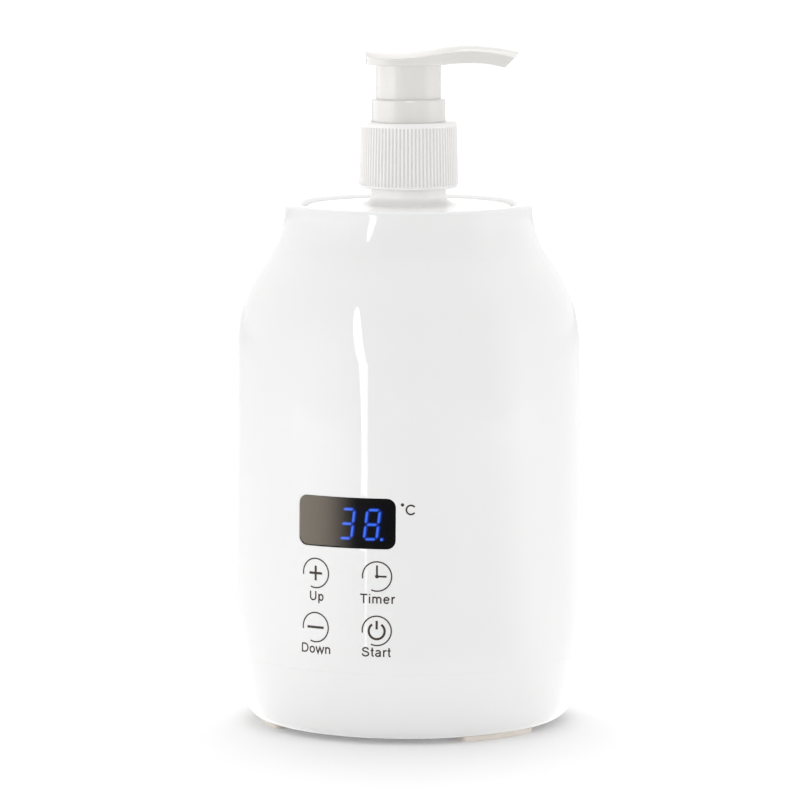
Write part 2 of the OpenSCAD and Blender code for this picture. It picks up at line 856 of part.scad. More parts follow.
module dip_tube() {
    low = cup_floor_z + bottle_wall + dip_clear;
    color("gainsboro") difference() {
        ring(dip_r, dip_r - dip_wall, low, cylinder_low);
        translate([0, 0, low]) rotate([0, dip_slant, 0]) cube([dip_d * 3, dip_d * 2, dip_d], center = true);
    }
}

module inlet_ball() {
    color("silver") translate([0, 0, ball_z]) sphere(r = ball_r);
}

module return_spring() {
    low = spring_low + spring_wire / 2 + snug;
    high = piston_low - spring_wire / 2 - snug;
    color("silver")
        helix(spring_r, spring_wire / 2, low, (high - low) / spring_turns, spring_turns,
            spring_rings, wire_sides);
}

module pump_piston() {
    groove = 0.8;
    waist = lip_h + lip_slope;
    color("gainsboro") rotate_extrude() polygon([[stem_r + snug, piston_low], [piston_r, piston_low],
        [piston_r, piston_low + lip_h], [piston_r - groove, piston_low + waist],
        [piston_r - groove, piston_top - waist], [piston_r, piston_top - lip_h],
        [piston_r, piston_top], [stem_r + snug, piston_top]]);
}

module pump_stem() {
    color("white") ring(stem_r, stem_r - stem_wall, piston_low, head_z);
}

// Pump head: a crowned lever lofted along its length, on a round skirt
lever_first = 8;
pad_steps = 8;
spout_steps = 14;
pad_power = 2.4;
taper_short = 1;
neck_swell = 0.9;
lever_rise_x = -6;
arch_h = 0.55;
arch_from = 11;
tip_low = 1;
slant_from = 24;
edge_trim = 0.35;
channel_floor = 0.5;
channel_climb = 0.6;
riser_over = 0.2;
function ease(t) = let (u = min(max(t, 0), 1)) u * u * (3 - 2 * u);
function lever_ridge(x) = x < crest_x
    ? pad_h + (crest_h - pad_h) * ease((x - lever_rise_x) / (crest_x - lever_rise_x))
    : crest_h - tip_drop * pow((x - crest_x) / (spout_reach - crest_x), 2);
function lever_under(x) = x < arch_from ? 0 : x < crest_x
    ? arch_h * (1 - pow((crest_x - x) / (crest_x - arch_from), 2))
    : arch_h - (arch_h + tip_low) * pow((x - crest_x) / (spout_reach - crest_x), 2);
function lever_half(x) = x < 0
    ? pad_half_w * pow(1 - pow(-x / pad_half_l, pad_power), 1 / pad_power)
    : spout_half + (pad_half_w - spout_half) * (1 - ease(x / (crest_x - taper_short)))
        + neck_swell * ease(x / crest_x) * (1 - ease((x - crest_x) / (spout_reach - crest_x)));
function lever_slant(x, h) = x < slant_from ? 0
    : (h - (lever_ridge(x) + lever_under(x)) / 2) * ease((x - slant_from) / (spout_reach - slant_from));
lever_x = concat(
    [for (k = [0:pad_steps]) -pad_half_l * cos(lever_first + (90 - lever_first) * k / pad_steps)],
    [for (k = [1:spout_steps]) spout_reach * k / spout_steps]);
crown_at = [1, 0.85, 0.6, 0.3, 0, -0.3, -0.6, -0.85, -1];

function lever_section(x) =
    let (w = lever_half(x), top = lever_ridge(x), low = lever_under(x), edge = top - crown)
        let (trim = min(edge_trim, w / 4))
            concat(
                [for (y = crown_at) [y * w, edge + crown * (1 - y * y)]],
                [[-w, low + trim], [-w + trim, low], [w - trim, low], [w, low + trim]]);

module lever() {
    sides = len(crown_at) + 4;
    last = len(lever_x) - 1;
    points = [for (x = lever_x) for (p = lever_section(x)) [x + lever_slant(x, p.y), p.x, p.y]];
    side_faces = [for (k = [0:last - 1], s = [0:sides - 1]) let (t = (s + 1) % sides, j = k * sides)
        each [[j + s, j + sides + t, j + t], [j + s, j + sides + s, j + sides + t]]];
    caps = [for (s = [1:sides - 2]) each [[0, s, s + 1],
        [last * sides, last * sides + s + 1, last * sides + s]]];
    polyhedron(points, concat(side_faces, caps), convexity = 6);
}

module pump_head() {
    channel_z = channel_d / 2 + channel_floor;
    tip_z = channel_z + channel_climb;
    color("white") translate([0, 0, head_z]) rotate([0, 0, spout_turn]) difference() {
        union() {
            lever();
            translate([0, 0, skirt_low - head_z]) cylinder(r = skirt_r, h = head_z - skirt_low + skirt_root);
        }
        difference() {
            translate([0, 0, skirt_low - head_z - skirt_roof])
                cylinder(r = skirt_r - skirt_wall, h = head_z - skirt_low);
            translate([0, 0, -socket_h]) cylinder(r = stem_r + socket_wall, h = socket_h + over);
        }
        translate([0, 0, -socket_h - over]) cylinder(r = stem_r + snug, h = socket_h + over);
        translate([0, 0, -eps]) cylinder(r = stem_r - stem_wall, h = channel_z + channel_d / 2 + riser_over);
        rod([0, 0, channel_z], [spout_reach + crest_h, 0, tip_z], channel_d);
    }
}

housing_shell();
base_bowl();
foot_pads();
base_screws();
display_window();
display_module();
digit_segments();
control_board();
control_chips();
board_screws();
touch_pads();
mouth_seal();
heating_cup();
heater_film();
insulation_sleeve();
cup_support();
thermal_fuse();
temperature_sensor();
power_board();
power_components();
buzzer();
power_board_screws();
power_jack();
jack_pin();
jack_nut();
heater_leads();
sensor_leads();
ribbon_cable();
bottle();
closure_cap();
pump_collar();
pump_cylinder();
stem_guide();
neck_gasket();
dip_tube();
inlet_ball();
return_spring();
pump_piston();
pump_stem();
pump_head();
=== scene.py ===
import json
import math

import bmesh
import bpy
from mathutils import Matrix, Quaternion, Vector

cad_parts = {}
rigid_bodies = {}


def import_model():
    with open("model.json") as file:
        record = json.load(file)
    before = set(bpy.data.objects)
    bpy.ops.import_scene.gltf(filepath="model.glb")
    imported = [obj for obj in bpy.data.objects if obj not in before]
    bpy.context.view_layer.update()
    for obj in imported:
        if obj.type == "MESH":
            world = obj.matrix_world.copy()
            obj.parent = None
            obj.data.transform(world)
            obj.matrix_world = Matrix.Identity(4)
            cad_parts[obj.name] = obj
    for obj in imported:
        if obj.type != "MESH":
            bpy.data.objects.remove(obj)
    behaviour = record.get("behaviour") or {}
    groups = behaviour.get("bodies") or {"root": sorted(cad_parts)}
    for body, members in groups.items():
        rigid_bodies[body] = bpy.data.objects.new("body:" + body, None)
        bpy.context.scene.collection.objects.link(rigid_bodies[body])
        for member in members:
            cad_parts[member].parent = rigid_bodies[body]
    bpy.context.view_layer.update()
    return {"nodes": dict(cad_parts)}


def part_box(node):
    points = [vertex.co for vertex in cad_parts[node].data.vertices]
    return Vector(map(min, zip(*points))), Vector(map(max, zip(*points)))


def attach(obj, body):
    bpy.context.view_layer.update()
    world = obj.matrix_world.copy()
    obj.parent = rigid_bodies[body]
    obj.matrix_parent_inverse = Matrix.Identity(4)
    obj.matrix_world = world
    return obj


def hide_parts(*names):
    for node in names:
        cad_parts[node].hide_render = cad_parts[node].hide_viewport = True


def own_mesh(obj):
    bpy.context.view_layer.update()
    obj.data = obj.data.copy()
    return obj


for leftover in list(bpy.data.objects):
    bpy.data.objects.remove(leftover)
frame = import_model()
scene = bpy.context.scene
nodes = frame["nodes"]
mm = 0.001  # every size below is in millimetres
tiny = 1e-6  # points no further apart than this are one point
print("frame loaded:", len(nodes), "nodes")

# Camera, at the photograph's viewing angle

photoView = {"azimuth": 20.9, "distance": 1700, "height": 314.1, "aim": 109.6, "lens": 226, "sensor": 36,
             "shift": -0.0108, "clipEnd": 100}


def addObject(name, data):
    made = bpy.data.objects.new(name, data)
    scene.collection.objects.link(made)
    return made


def around(azimuth, distance, height):
    a = math.radians(azimuth)
    return Vector((distance * math.sin(a), -distance * math.cos(a), height)) * mm


def makeCamera(view):
    data = bpy.data.cameras.new("photoCamera")
    data.lens, data.sensor_width = view["lens"], view["sensor"]
    data.shift_x, data.clip_end = view["shift"], view["clipEnd"]
    camera = addObject("photoCamera", data)
    camera.location = around(view["azimuth"], view["distance"], view["height"])
    aim = Vector((0, 0, view["aim"] * mm)) - camera.location
    camera.rotation_euler = aim.to_track_quat("-Z", "Y").to_euler()
    scene.camera = camera


makeCamera(photoView)
print("camera placed")

# Curves and turned shapes


def cosd(a):
    return math.cos(math.radians(a))


def sind(a):
    return math.sin(math.radians(a))


def spread(low, high, steps):
    return [low + (high - low) * k / steps for k in range(steps + 1)]


def oval(x, y, rx, ry, fromDeg, toDeg, steps=16):
    return [(x + rx * cosd(a), y + ry * sind(a)) for a in spread(fromDeg, toDeg, steps)]


def arc(centre, radius, fromDeg, toDeg, steps):
    return oval(*centre, radius, radius, fromDeg, toDeg, steps)


def ease(t):
    u = min(max(t, 0), 1)
    return u * u * (3 - 2 * u)


def joinRuns(*runs):
    # one outline from several runs of points, with no point twice in a row
    points = []
    for point in (p for run in runs for p in run):
        if not points or math.dist(point, points[-1]) > tiny:
            points.append(point)
    return points


def joinSteps(*runs):
    # the same for runs of numbers
    return [step for step, _ in joinRuns(*([(step, 0) for step in run] for run in runs))]


def edgeRound(corner, before, after, radius, steps=4):
    # a corner eased from the point before it to the point after it
    def towards(p):
        away = Vector(p) - Vector(corner)
        return Vector(corner) + away.normalized() * radius

    a, b, c = towards(before), towards(after), Vector(corner)
    return [tuple((1 - t) ** 2 * a + 2 * t * (1 - t) * c + t * t * b) for t in spread(0, 1, steps)]


def softened(points, radius, closed=True):
    # the same outline with every corner eased
    run = []
    for k, point in enumerate(points):
        if not closed and k in (0, len(points) - 1):
            run.append(point)
        else:
            run += edgeRound(point, points[k - 1], points[(k + 1) % len(points)], radius)
    return joinRuns(run)


def startTurned(profile, columns):
    # rings of points round the axis; a point on the axis is one pole
    plan = {"verts": [], "faces": [], "rows": [], "columns": columns, "skip": set()}
    for r, z in profile:
        if r < tiny:
            plan["rows"].append([len(plan["verts"])] * columns)
            plan["verts"].append(Vector((0, 0, z)))
        else:
            turn = [360 * j / columns for j in range(columns)]
            plan["rows"].append(addRing(plan, [Vector((r * sind(a), -r * cosd(a), z)) for a in turn]))
    return plan


def addRing(plan, points):
    first = len(plan["verts"])
    plan["verts"] += points
    return list(range(first, first + len(points)))


def addFace(plan, corners):
    face = list(dict.fromkeys(corners))
    if len(face) > 2:
        plan["faces"].append(face)


def stitch(plan, ringA, ringB):
    count = len(ringA)
    for k in range(count):
        n = (k + 1) % count
        addFace(plan, [ringA[k], ringA[n], ringB[n], ringB[k]])


def roundedOutline(width, height, corner, across, up, half):
    # points round a rounded rectangle, from the middle of its lower left corner
    w, h = width / 2 - corner, height / 2 - corner
    corners = [(-w, -h, 225), (w, -h, 315), (w, h, 45), (-w, h, 135)]
    points = []
    for k, (cx, cy, mid) in enumerate(corners):
        nx, ny, nextMid = corners[(k + 1) % 4]
        straight = (up if k % 2 else across) - 2 * half
        leaving = [Vector(p) for p in arc((cx, cy), corner, mid, mid + 45, half)]
        coming = [Vector(p) for p in arc((nx, ny), corner, nextMid - 45, nextMid, half)]
        side = [leaving[-1].lerp(coming[0], i / straight) for i in range(straight)]
        points += leaving[:-1] + side + coming[:-1]
    return points


def circleOutline(radius, cells):
    return roundedOutline(2 * radius, 2 * radius, radius, cells, cells, cells // 2)


outerShares = (0.7, 0.45, 0.25, 0.1, 0)  # how far rings lie between a hole and the block of cells round it


def openBlock(plan, rowRange, colRange, flat, lift, shape, shares, last=None):
    # leaves a block of cells out of a turned wall and closes in on a hole with rings, to the hole's edge;
    # the lower row comes first, also on an inside wall, where rows run downwards
    (i0, i1), (j0, j1) = rowRange, colRange
    n, rows, step = plan["columns"], plan["rows"], 1 if i1 > i0 else -1
    edge = [rows[i0][j % n] for j in range(j0, j1)] + [rows[i][j1 % n] for i in range(i0, i1, step)]
    edge += [rows[i1][j % n] for j in range(j1, j0, -1)] + [rows[i][j0 % n] for i in range(i1, i0, -step)]
    plan["skip"] |= {(i, j % n) for i in range(min(i0, i1), max(i0, i1)) for j in range(j0, j1)}
    far = [flat(plan["verts"][k]) for k in edge]
    rings = [[lift(p.lerp(f, share)) for p, f in zip(shape, far)] for share in shares]
    return joinRings(plan, edge, rings, last)


def joinRings(plan, first, rings, last=None):
    # walls from one ring to the next, such as those of a hole
    for points in rings:
        ring = addRing(plan, points)
        stitch(plan, first, ring)
        first = ring
    if last:
        stitch(plan, first, last)
    return first


def closeBar(plan, sections):
    # a solid bar through a row of sections
    first = addRing(plan, sections[0])
    plan["faces"] += [first, joinRings(plan, first, sections[1:])]


def closeTurned(plan, loop=False):
    rows, n = plan["rows"], plan["columns"]
    for i in range(len(rows) if loop else len(rows) - 1):
        low, high = rows[i], rows[(i + 1) % len(rows)]
        for j in range(n):
            if (i, j) not in plan["skip"]:
                k = (j + 1) % n
                addFace(plan, [low[j], low[k], high[k], high[j]])


def meshPiece(name, shape):
    # a piece from a finished bmesh
    mesh = bpy.data.meshes.new(name)
    shape.to_mesh(mesh)
    shape.free()
    return addObject(name, mesh)


def makePiece(name, plan, sharp=38):
    rough = bpy.data.meshes.new(name)
    rough.from_pydata([v * mm for v in plan["verts"]], [], plan["faces"])
    shape = bmesh.new()
    shape.from_mesh(rough)
    bpy.data.meshes.remove(rough)
    bmesh.ops.delete(shape, geom=[v for v in shape.verts if not v.link_faces], context="VERTS")
    bmesh.ops.recalc_face_normals(shape, faces=shape.faces)
    piece = meshPiece(name, shape)
    smoothShade(piece.data, sharp)
    return piece


def smoothShade(mesh, sharp):
    mesh.shade_smooth()
    mesh.set_sharp_from_angle(angle=math.radians(sharp))


def turnedPiece(name, profile, columns, sharp=38):
    # a turned solid: its outline runs from pole to pole, or round in a loop
    plan = startTurned(profile, columns)
    closeTurned(plan, loop=profile[0][0] > tiny)
    return makePiece(name, plan, sharp)


def applyModifiers(piece):
    # turns what the modifiers make into a plain mesh
    graph = bpy.context.evaluated_depsgraph_get()
    made = bpy.data.meshes.new_from_object(piece.evaluated_get(graph), depsgraph=graph)
    piece.modifiers.clear()
    piece.data = made
    return piece


def combine(piece, other, operation, crossing=False):
    # adds or takes away another piece, which it uses up
    modifier = piece.modifiers.new("combine", "BOOLEAN")
    modifier.object, modifier.operation = other, operation
    modifier.solver, modifier.use_self = "EXACT", crossing
    applyModifiers(piece)
    bpy.data.objects.remove(other)


def coat(piece, material):
    piece.data.materials.clear()
    piece.data.materials.append(material)


def dress(piece, body, material, slot, *replaced):
    if material:
        coat(piece, material)
    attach(piece, body)
    if replaced:
        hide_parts(*replaced)
    return piece


# Node trees that more than one piece uses


def nodeTree(kind, name, inputs, outputs):
    tree = bpy.data.node_groups.new(name, kind)
    for label, socketType, default in inputs:
        socket = tree.interface.new_socket(name=label, in_out="INPUT", socket_type=socketType)
        if default is not None:
            socket.default_value = default
    for label, socketType in outputs:
        tree.interface.new_socket(name=label, in_out="OUTPUT", socket_type=socketType)
    return tree, tree.nodes.new("NodeGroupInput"), tree.nodes.new("NodeGroupOutput")


def setInputs(tree, node, values):
    # values for a node's inputs, or links to them
    for key, value in values.items():
        if isinstance(value, bpy.types.NodeSocket):
            tree.links.new(value, node.inputs[key])
        else:
            node.inputs[key].default_value = value


def addNode(tree, kind, values=None, **settings):
    node = tree.nodes.new(kind)
    for key, value in settings.items():
        setattr(node, key, value)
    setInputs(tree, node, values or {})
    return node


def runTree(piece, tree, values):
    # sets the tree's named inputs, then turns its result into a plain mesh
    modifier = piece.modifiers.new(tree.name, "NODES")
    modifier.node_group = tree
    for item in tree.interface.items_tree:
        if item.item_type == "SOCKET" and item.in_out == "INPUT" and item.name in values:
            modifier[item.identifier] = values[item.name]
    return applyModifiers(piece)


def mathNode(tree, operation, a, b=0.0):
    return addNode(tree, "ShaderNodeMath", {0: a, 1: b}, operation=operation).outputs[0]


def mapped(tree, value, low, high, toLow=0.0, toHigh=1.0, way="LINEAR"):
    values = {"Value": value, "From Min": low, "From Max": high, "To Min": toLow, "To Max": toHigh}
    return addNode(tree, "ShaderNodeMapRange", values, interpolation_type=way).outputs["Result"]


def smoothStep(tree, value, low, high):
    return mapped(tree, value, low, high, way="SMOOTHSTEP")


def scaled(tree, vector, share):
    return addNode(tree, "ShaderNodeVectorMath", {0: vector, "Scale": share}, operation="SCALE").outputs[0]


def lengthOf(tree, vector):
    return addNode(tree, "ShaderNodeVectorMath", {0: vector}, operation="LENGTH").outputs["Value"]


def finishTree(tree, geometry, groupIn, groupOut):
    real = addNode(tree, "GeometryNodeRealizeInstances", {"Geometry": geometry}).outputs["Geometry"]
    material = groupIn.outputs["Material"]
    last = addNode(tree, "GeometryNodeSetMaterial", {"Geometry": real, "Material": material})
    tree.links.new(last.outputs["Geometry"], groupOut.inputs["Geometry"])


geometryOut = [("Geometry", "NodeSocketGeometry")]
ribSides = (-0.75, 0.65)  # where a rib's side starts and ends on the wave round the wall


def ribbedWallTree():
    # raises upright ribs on the outside of a turned wall, and keeps a painted-shade mask for the grooves
    # between them
    inputs = [("Geometry", "NodeSocketGeometry", None), ("Rib Count", "NodeSocketInt", 80),
              ("Rib Height", "NodeSocketFloat", 0.0004), ("Low", "NodeSocketFloat", 0.0),
              ("High", "NodeSocketFloat", 0.02), ("Fade", "NodeSocketFloat", 0.001),
              ("Inside Radius", "NodeSocketFloat", 0.01), ("Material", "NodeSocketMaterial", None)]
    tree, groupIn, groupOut = nodeTree("GeometryNodeTree", "ribbedWall", inputs, geometryOut)
    size = groupIn.outputs
    place = addNode(tree, "GeometryNodeInputPosition").outputs[0]
    xyz = addNode(tree, "ShaderNodeSeparateXYZ", {0: place}).outputs
    flat = addNode(tree, "ShaderNodeCombineXYZ", {"X": xyz["X"], "Y": xyz["Y"]}).outputs[0]
    outward = addNode(tree, "ShaderNodeVectorMath", {0: flat}, operation="NORMALIZE").outputs[0]
    radius = lengthOf(tree, flat)
    turn = mathNode(tree, "ARCTAN2", xyz["Y"], xyz["X"])
    wave = mathNode(tree, "COSINE", mathNode(tree, "MULTIPLY", turn, size["Rib Count"]))
    rib = smoothStep(tree, wave, *ribSides)
    low, high, fade = size["Low"], size["High"], size["Fade"]
    lowEnd = smoothStep(tree, xyz["Z"], low, mathNode(tree, "ADD", low, fade))
    highEnd = smoothStep(tree, xyz["Z"], high, mathNode(tree, "SUBTRACT", high, fade))
    outside = mathNode(tree, "GREATER_THAN", radius, size["Inside Radius"])
    ends = mathNode(tree, "MULTIPLY", mathNode(tree, "MULTIPLY", lowEnd, highEnd), outside)
    lift = mathNode(tree, "MULTIPLY", mathNode(tree, "MULTIPLY", rib, ends), size["Rib Height"])
    offset = scaled(tree, outward, lift)
    raised = addNode(tree, "GeometryNodeSetPosition", {"Geometry": size["Geometry"], "Offset": offset})
    # painted shade: how much the colour is darkened between the ribs
    groove = mathNode(tree, "MULTIPLY", mathNode(tree, "SUBTRACT", 1.0, rib), ends)
    mark = {"Geometry": raised.outputs["Geometry"], "Name": "groove", "Value": groove}
    marked = addNode(tree, "GeometryNodeStoreNamedAttribute", mark, data_type="FLOAT", domain="POINT")
    finishTree(tree, marked.outputs["Geometry"], groupIn, groupOut)
    return tree


def copiesTree():
    # puts a copy of one piece on every point, turned by the point's own angle
    inputs = [("Geometry", "NodeSocketGeometry", None), ("Piece", "NodeSocketObject", None),
              ("Material", "NodeSocketMaterial", None)]
    tree, groupIn, groupOut = nodeTree("GeometryNodeTree", "copiesOnPoints", inputs, geometryOut)
    size = groupIn.outputs
    angle = addNode(tree, "GeometryNodeInputNamedAttribute", {"Name": "turn"}, data_type="FLOAT")
    turn = addNode(tree, "ShaderNodeCombineXYZ", {"Z": angle.outputs["Attribute"]}).outputs[0]
    piece = addNode(tree, "GeometryNodeObjectInfo", {"Object": size["Piece"]}).outputs["Geometry"]
    points = addNode(tree, "GeometryNodeMeshToPoints", {"Mesh": size["Geometry"]}).outputs["Points"]
    copies = addNode(tree, "GeometryNodeInstanceOnPoints",
                     {"Points": points, "Instance": piece, "Rotation": turn}).outputs["Instances"]
    finishTree(tree, copies, groupIn, groupOut)
    return tree


ribbedWall = ribbedWallTree()
copiesOnPoints = copiesTree()


def copyAround(name, piece, places, material):
    # places are (x, y, z, turn in degrees)
    mesh = bpy.data.meshes.new(name)
    mesh.from_pydata([Vector(p[:3]) * mm for p in places], [], [])
    turns = mesh.attributes.new("turn", "FLOAT", "POINT")
    turns.data.foreach_set("value", [math.radians(p[3]) for p in places])
    copies = runTree(addObject(name, mesh), copiesOnPoints, {"Piece": piece, "Material": material})
    bpy.data.objects.remove(piece)
    return copies


# Finishes

noiseRange = (0.3, 0.7)  # most of a noise lies between these
reliefDepth = 0.02 * mm


def noiseAt(tree, scale, detail, stretch):
    place = addNode(tree, "ShaderNodeTexCoord").outputs["Object"]
    pulled = addNode(tree, "ShaderNodeMapping", {"Vector": place, "Scale": stretch}).outputs[0]
    values = {"Vector": pulled, "Scale": scale, "Detail": detail}
    return addNode(tree, "ShaderNodeTexNoise", values).outputs[0]


def surfaceGroup(name, toneScale, grainScale, glossScale, stretch=(1, 1, 1)):
    # a shared surface effect: tone that drifts, gloss that varies and a fine relief
    inputs = [("Colour", "NodeSocketColor", (0.8, 0.8, 0.8, 1)), ("Drift", "NodeSocketFloat", 0.02),
              ("Gloss", "NodeSocketFloat", 0.2), ("Gloss Spread", "NodeSocketFloat", 0.03)]
    outputs = [("Colour", "NodeSocketColor"), ("Roughness", "NodeSocketFloat"),
               ("Height", "NodeSocketFloat")]
    tree, groupIn, groupOut = nodeTree("ShaderNodeTree", name, inputs, outputs)
    value = groupIn.outputs
    deepest = mathNode(tree, "SUBTRACT", 1.0, value["Drift"])
    tone = mapped(tree, noiseAt(tree, toneScale, 3, stretch), *noiseRange, deepest, 1.0)
    dull = mathNode(tree, "ADD", value["Gloss"], value["Gloss Spread"])
    bright = mathNode(tree, "SUBTRACT", value["Gloss"], value["Gloss Spread"])
    rough = mapped(tree, noiseAt(tree, glossScale, 4, stretch), *noiseRange, bright, dull)
    setInputs(tree, groupOut, {"Colour": scaled(tree, value["Colour"], tone), "Roughness": rough,
                               "Height": noiseAt(tree, grainScale, 2, stretch)})
    return tree


mouldedSkin = surfaceGroup("mouldedSkin", 22, 900, 45)
mattGrain = surfaceGroup("mattGrain", 160, 2600, 420)
drawnLines = surfaceGroup("drawnLines", 60, 180, 90, (0.6, 0.6, 34))


def newMaterial(name):
    material = bpy.data.materials.new(name)
    material.use_nodes = True
    return material, material.node_tree, material.node_tree.nodes["Principled BSDF"]


def finish(name, group, colour, gloss, spreadOf, drift, relief, **sockets):
    material, tree, shader = newMaterial(name)
    surface = addNode(tree, "ShaderNodeGroup", {"Colour": (*colour, 1), "Drift": drift, "Gloss": gloss,
                                                "Gloss Spread": spreadOf}, node_tree=group).outputs
    setInputs(tree, shader, {"Base Color": surface["Colour"], "Roughness": surface["Roughness"]})
    if relief:
        bump = addNode(tree, "ShaderNodeBump", {"Height": surface["Height"], "Strength": relief,
                                                "Distance": reliefDepth})
        tree.links.new(bump.outputs["Normal"], shader.inputs["Normal"])
    setInputs(tree, shader, {label.replace("_", " "): value for label, value in sockets.items()})
    return material


def shadeGrooves(material, tone):
    # painted shade: a darker tone between the ribs, by the mask values that the rib tree keeps on the mesh
    tree = material.node_tree
    base = tree.nodes["Principled BSDF"].inputs["Base Color"]
    groove = addNode(tree, "ShaderNodeAttribute", attribute_name="groove").outputs["Fac"]
    tree.links.new(scaled(tree, base.links[0].from_socket, mapped(tree, groove, 0.0, 1.0, 1.0, tone)), base)


def litFinish(edge, core, strength):
    # bars that glow from a pale core to a deep blue edge, by the mesh's own "core" values
    material, tree, shader = newMaterial("digitBlue")
    share = addNode(tree, "ShaderNodeAttribute", attribute_name="core").outputs["Fac"]
    ramp = addNode(tree, "ShaderNodeValToRGB", {"Fac": share})
    for stop, colour in zip(ramp.color_ramp.elements, (edge, core)):
        stop.color = (*colour, 1)
    setInputs(tree, shader, {"Emission Color": ramp.outputs["Color"], "Emission Strength": strength,
                             "Base Color": (0.02, 0.03, 0.2, 1), "Roughness": 0.4})
    return material


# colour, then gloss, how much it varies, how far the tone drifts, and the relief
housingWhite = finish("housingWhite", mouldedSkin, (0.87, 0.87, 0.868), 0.03, 0.008, 0.01, 0.02, IOR=1.5)
pumpWhite = finish("pumpWhite", mouldedSkin, (0.766, 0.75, 0.725), 0.07, 0.015, 0.015, 0.03, IOR=1.6)
capWhite = finish("capWhite", mouldedSkin, (0.91, 0.902, 0.89), 0.34, 0.03, 0.015, 0.05, IOR=1.5)
bottleWhite = finish("bottleWhite", mouldedSkin, (0.95, 0.945, 0.935), 0.26, 0.012, 0.004, 0.03, IOR=1.5)
smokedWindow = finish("smokedWindow", mouldedSkin, (0.015, 0.014, 0.0135), 0.0, 0.0, 0.1, 0, IOR=1.17,
                      Transmission_Weight=1.0)
darkBar = finish("darkBar", mattGrain, (0.012, 0.012, 0.013), 0.5, 0.05, 0.08, 0.1)
padCream = finish("padCream", mattGrain, (0.92, 0.85, 0.78), 0.62, 0.06, 0.08, 0.25)
panelInk = finish("panelInk", mattGrain, (0.048, 0.033, 0.025), 0.35, 0.05, 0.15, 0, Specular_IOR_Level=0.2)
jackBlack = finish("jackBlack", mattGrain, (0.018, 0.018, 0.019), 0.42, 0.06, 0.1, 0.15)
pinBrass = finish("pinBrass", drawnLines, (0.8, 0.62, 0.3), 0.25, 0.06, 0.06, 0.1, Metallic=1.0)
screwSteel = finish("screwSteel", drawnLines, (0.6, 0.6, 0.61), 0.3, 0.08, 0.08, 0.1, Metallic=1.0)
springSteel = finish("springSteel", drawnLines, (0.66, 0.66, 0.67), 0.2, 0.05, 0.08, 0.1, Metallic=1.0)
cupAluminium = finish("cupAluminium", drawnLines, (0.78, 0.785, 0.79), 0.32, 0.06, 0.06, 0.2, Metallic=1.0)
# painted shade: the cap's colour is darkened to 0.84 between its ribs
shadeGrooves(capWhite, 0.84)
digitBlue = litFinish(edge=(0.0005, 0.012, 0.16), core=(0.045, 0.17, 0.97), strength=80)
print("finishes ready")

# Housing: a turned shell with the window's seat in it

shell = {"bodyD": 120.4, "draft": 1.03, "shoulderZ": 128.3, "shoulderR": 53.8, "waistR": 26.3, "rimD": 84.2,
         "rimRound": 1.4, "wall": 2.4, "mouthT": 3.2, "mouthR": 36.6, "mouthRound": 2.56, "seamZ": 25,
         "seamEase": 0.05, "baseD": 101.8, "blendH": 28.1, "footH": 2, "tongueH": 4, "tongueT": 1.1,
         "tongueGap": 0.3, "fit": 0.1, "columns": 192}
window = {"w": 34.5, "h": 17.1, "corner": 3.0, "z": 75.4, "thick": 1.2, "ledge": 1.4, "gap": 0.14,
          "ease": 0.12, "edge": 0.1, "sunk": 0.05, "across": 30, "up": 18, "half": 4, "blockLow": 60,
          "blockHigh": 92, "gridW": 0.36, "gridH": 0.3}
# gridW and gridH are shares of its size; an eased edge goes by shares of its radius, inwards and down
seatCurve = ((0.3, 0.1), (0.75, 0.4), (1, 1))
edgeCurve = ((0.4, 0.1), (0.1, 0.4), (0, 1))
wallShares = (0.66, 0.33)
bodyR, baseR, rimR = shell["bodyD"] / 2, shell["baseD"] / 2, shell["rimD"] / 2
blendW, blendTop = bodyR - baseR, shell["footH"] + shell["blendH"]
floorZ = shell["footH"] + shell["wall"]
tongueOut = bodyR - shell["wall"] / 2 - shell["fit"]


def wallRadius(z, inset=0.0):
    return bodyR - (z - blendTop) * math.tan(math.radians(shell["draft"])) - inset


def blendPoint(z, inset=0.0):
    # the curve between the underside and the wall, at a height
    up = (blendTop - z) / (shell["blendH"] - inset)
    return baseR + (blendW - inset) * math.sqrt(max(0, 1 - up * up)), z


def bodyCurves():
    # centres and angle of the shoulder's and the waist's arcs
    topR = wallRadius(shell["shoulderZ"])
    shoulder = (topR - shell["shoulderR"] * cosd(shell["draft"]),
                shell["shoulderZ"] - shell["shoulderR"] * sind(shell["draft"]))
    both = shell["shoulderR"] + shell["waistR"]
    lean = math.degrees(math.acos((rimR + shell["waistR"] - shoulder[0]) / both))
    waist = (shoulder[0] + both * cosd(lean), shoulder[1] + both * sind(lean))
    return shoulder, waist, lean


shoulderC, waistC, lean = bodyCurves()
rimZ = waistC[1] + shell["rimRound"]
mouthUnder = rimZ - shell["mouthT"]


def skinRun(inset, low, lastTurn):
    # outside or inside of the wall, from a height near the seam up to the rim
    heights = joinSteps(spread(blendTop, window["blockLow"], 8),
                        spread(window["blockLow"], window["blockHigh"], window["up"]),
                        spread(window["blockHigh"], shell["shoulderZ"], 10))
    return joinRuns([blendPoint(z, inset) for z in spread(low, blendTop, 8)],
                    [(wallRadius(z, inset), z) for z in heights],
                    arc(shoulderC, shell["shoulderR"] - inset, shell["draft"], lean, 30),
                    arc(waistC, shell["waistR"] + inset, 180 + lean, 180 + lastTurn, 20))


def rowNear(profile, point):
    # index of the row that goes through a point of the outline
    return next(i for i, place in enumerate(profile) if math.dist(place, point) < tiny)


def onFront(inset):
    # from a place on the front, seen straight on, to the wall
    def lift(p):
        z = p.y + window["z"]
        return Vector((p.x, -math.sqrt(wallRadius(z, inset) ** 2 - p.x ** 2), z))
    return lift


def windowOutline(shrink):
    return roundedOutline(window["w"] - 2 * shrink, window["h"] - 2 * shrink, window["corner"] - shrink / 2,
                          window["across"], window["up"], window["half"])


def windowRings(steps):
    # rings round the window, each drawn in by so much and so deep under the wall
    return [[onFront(depth)(p) for p in windowOutline(shrink)] for shrink, depth in steps]


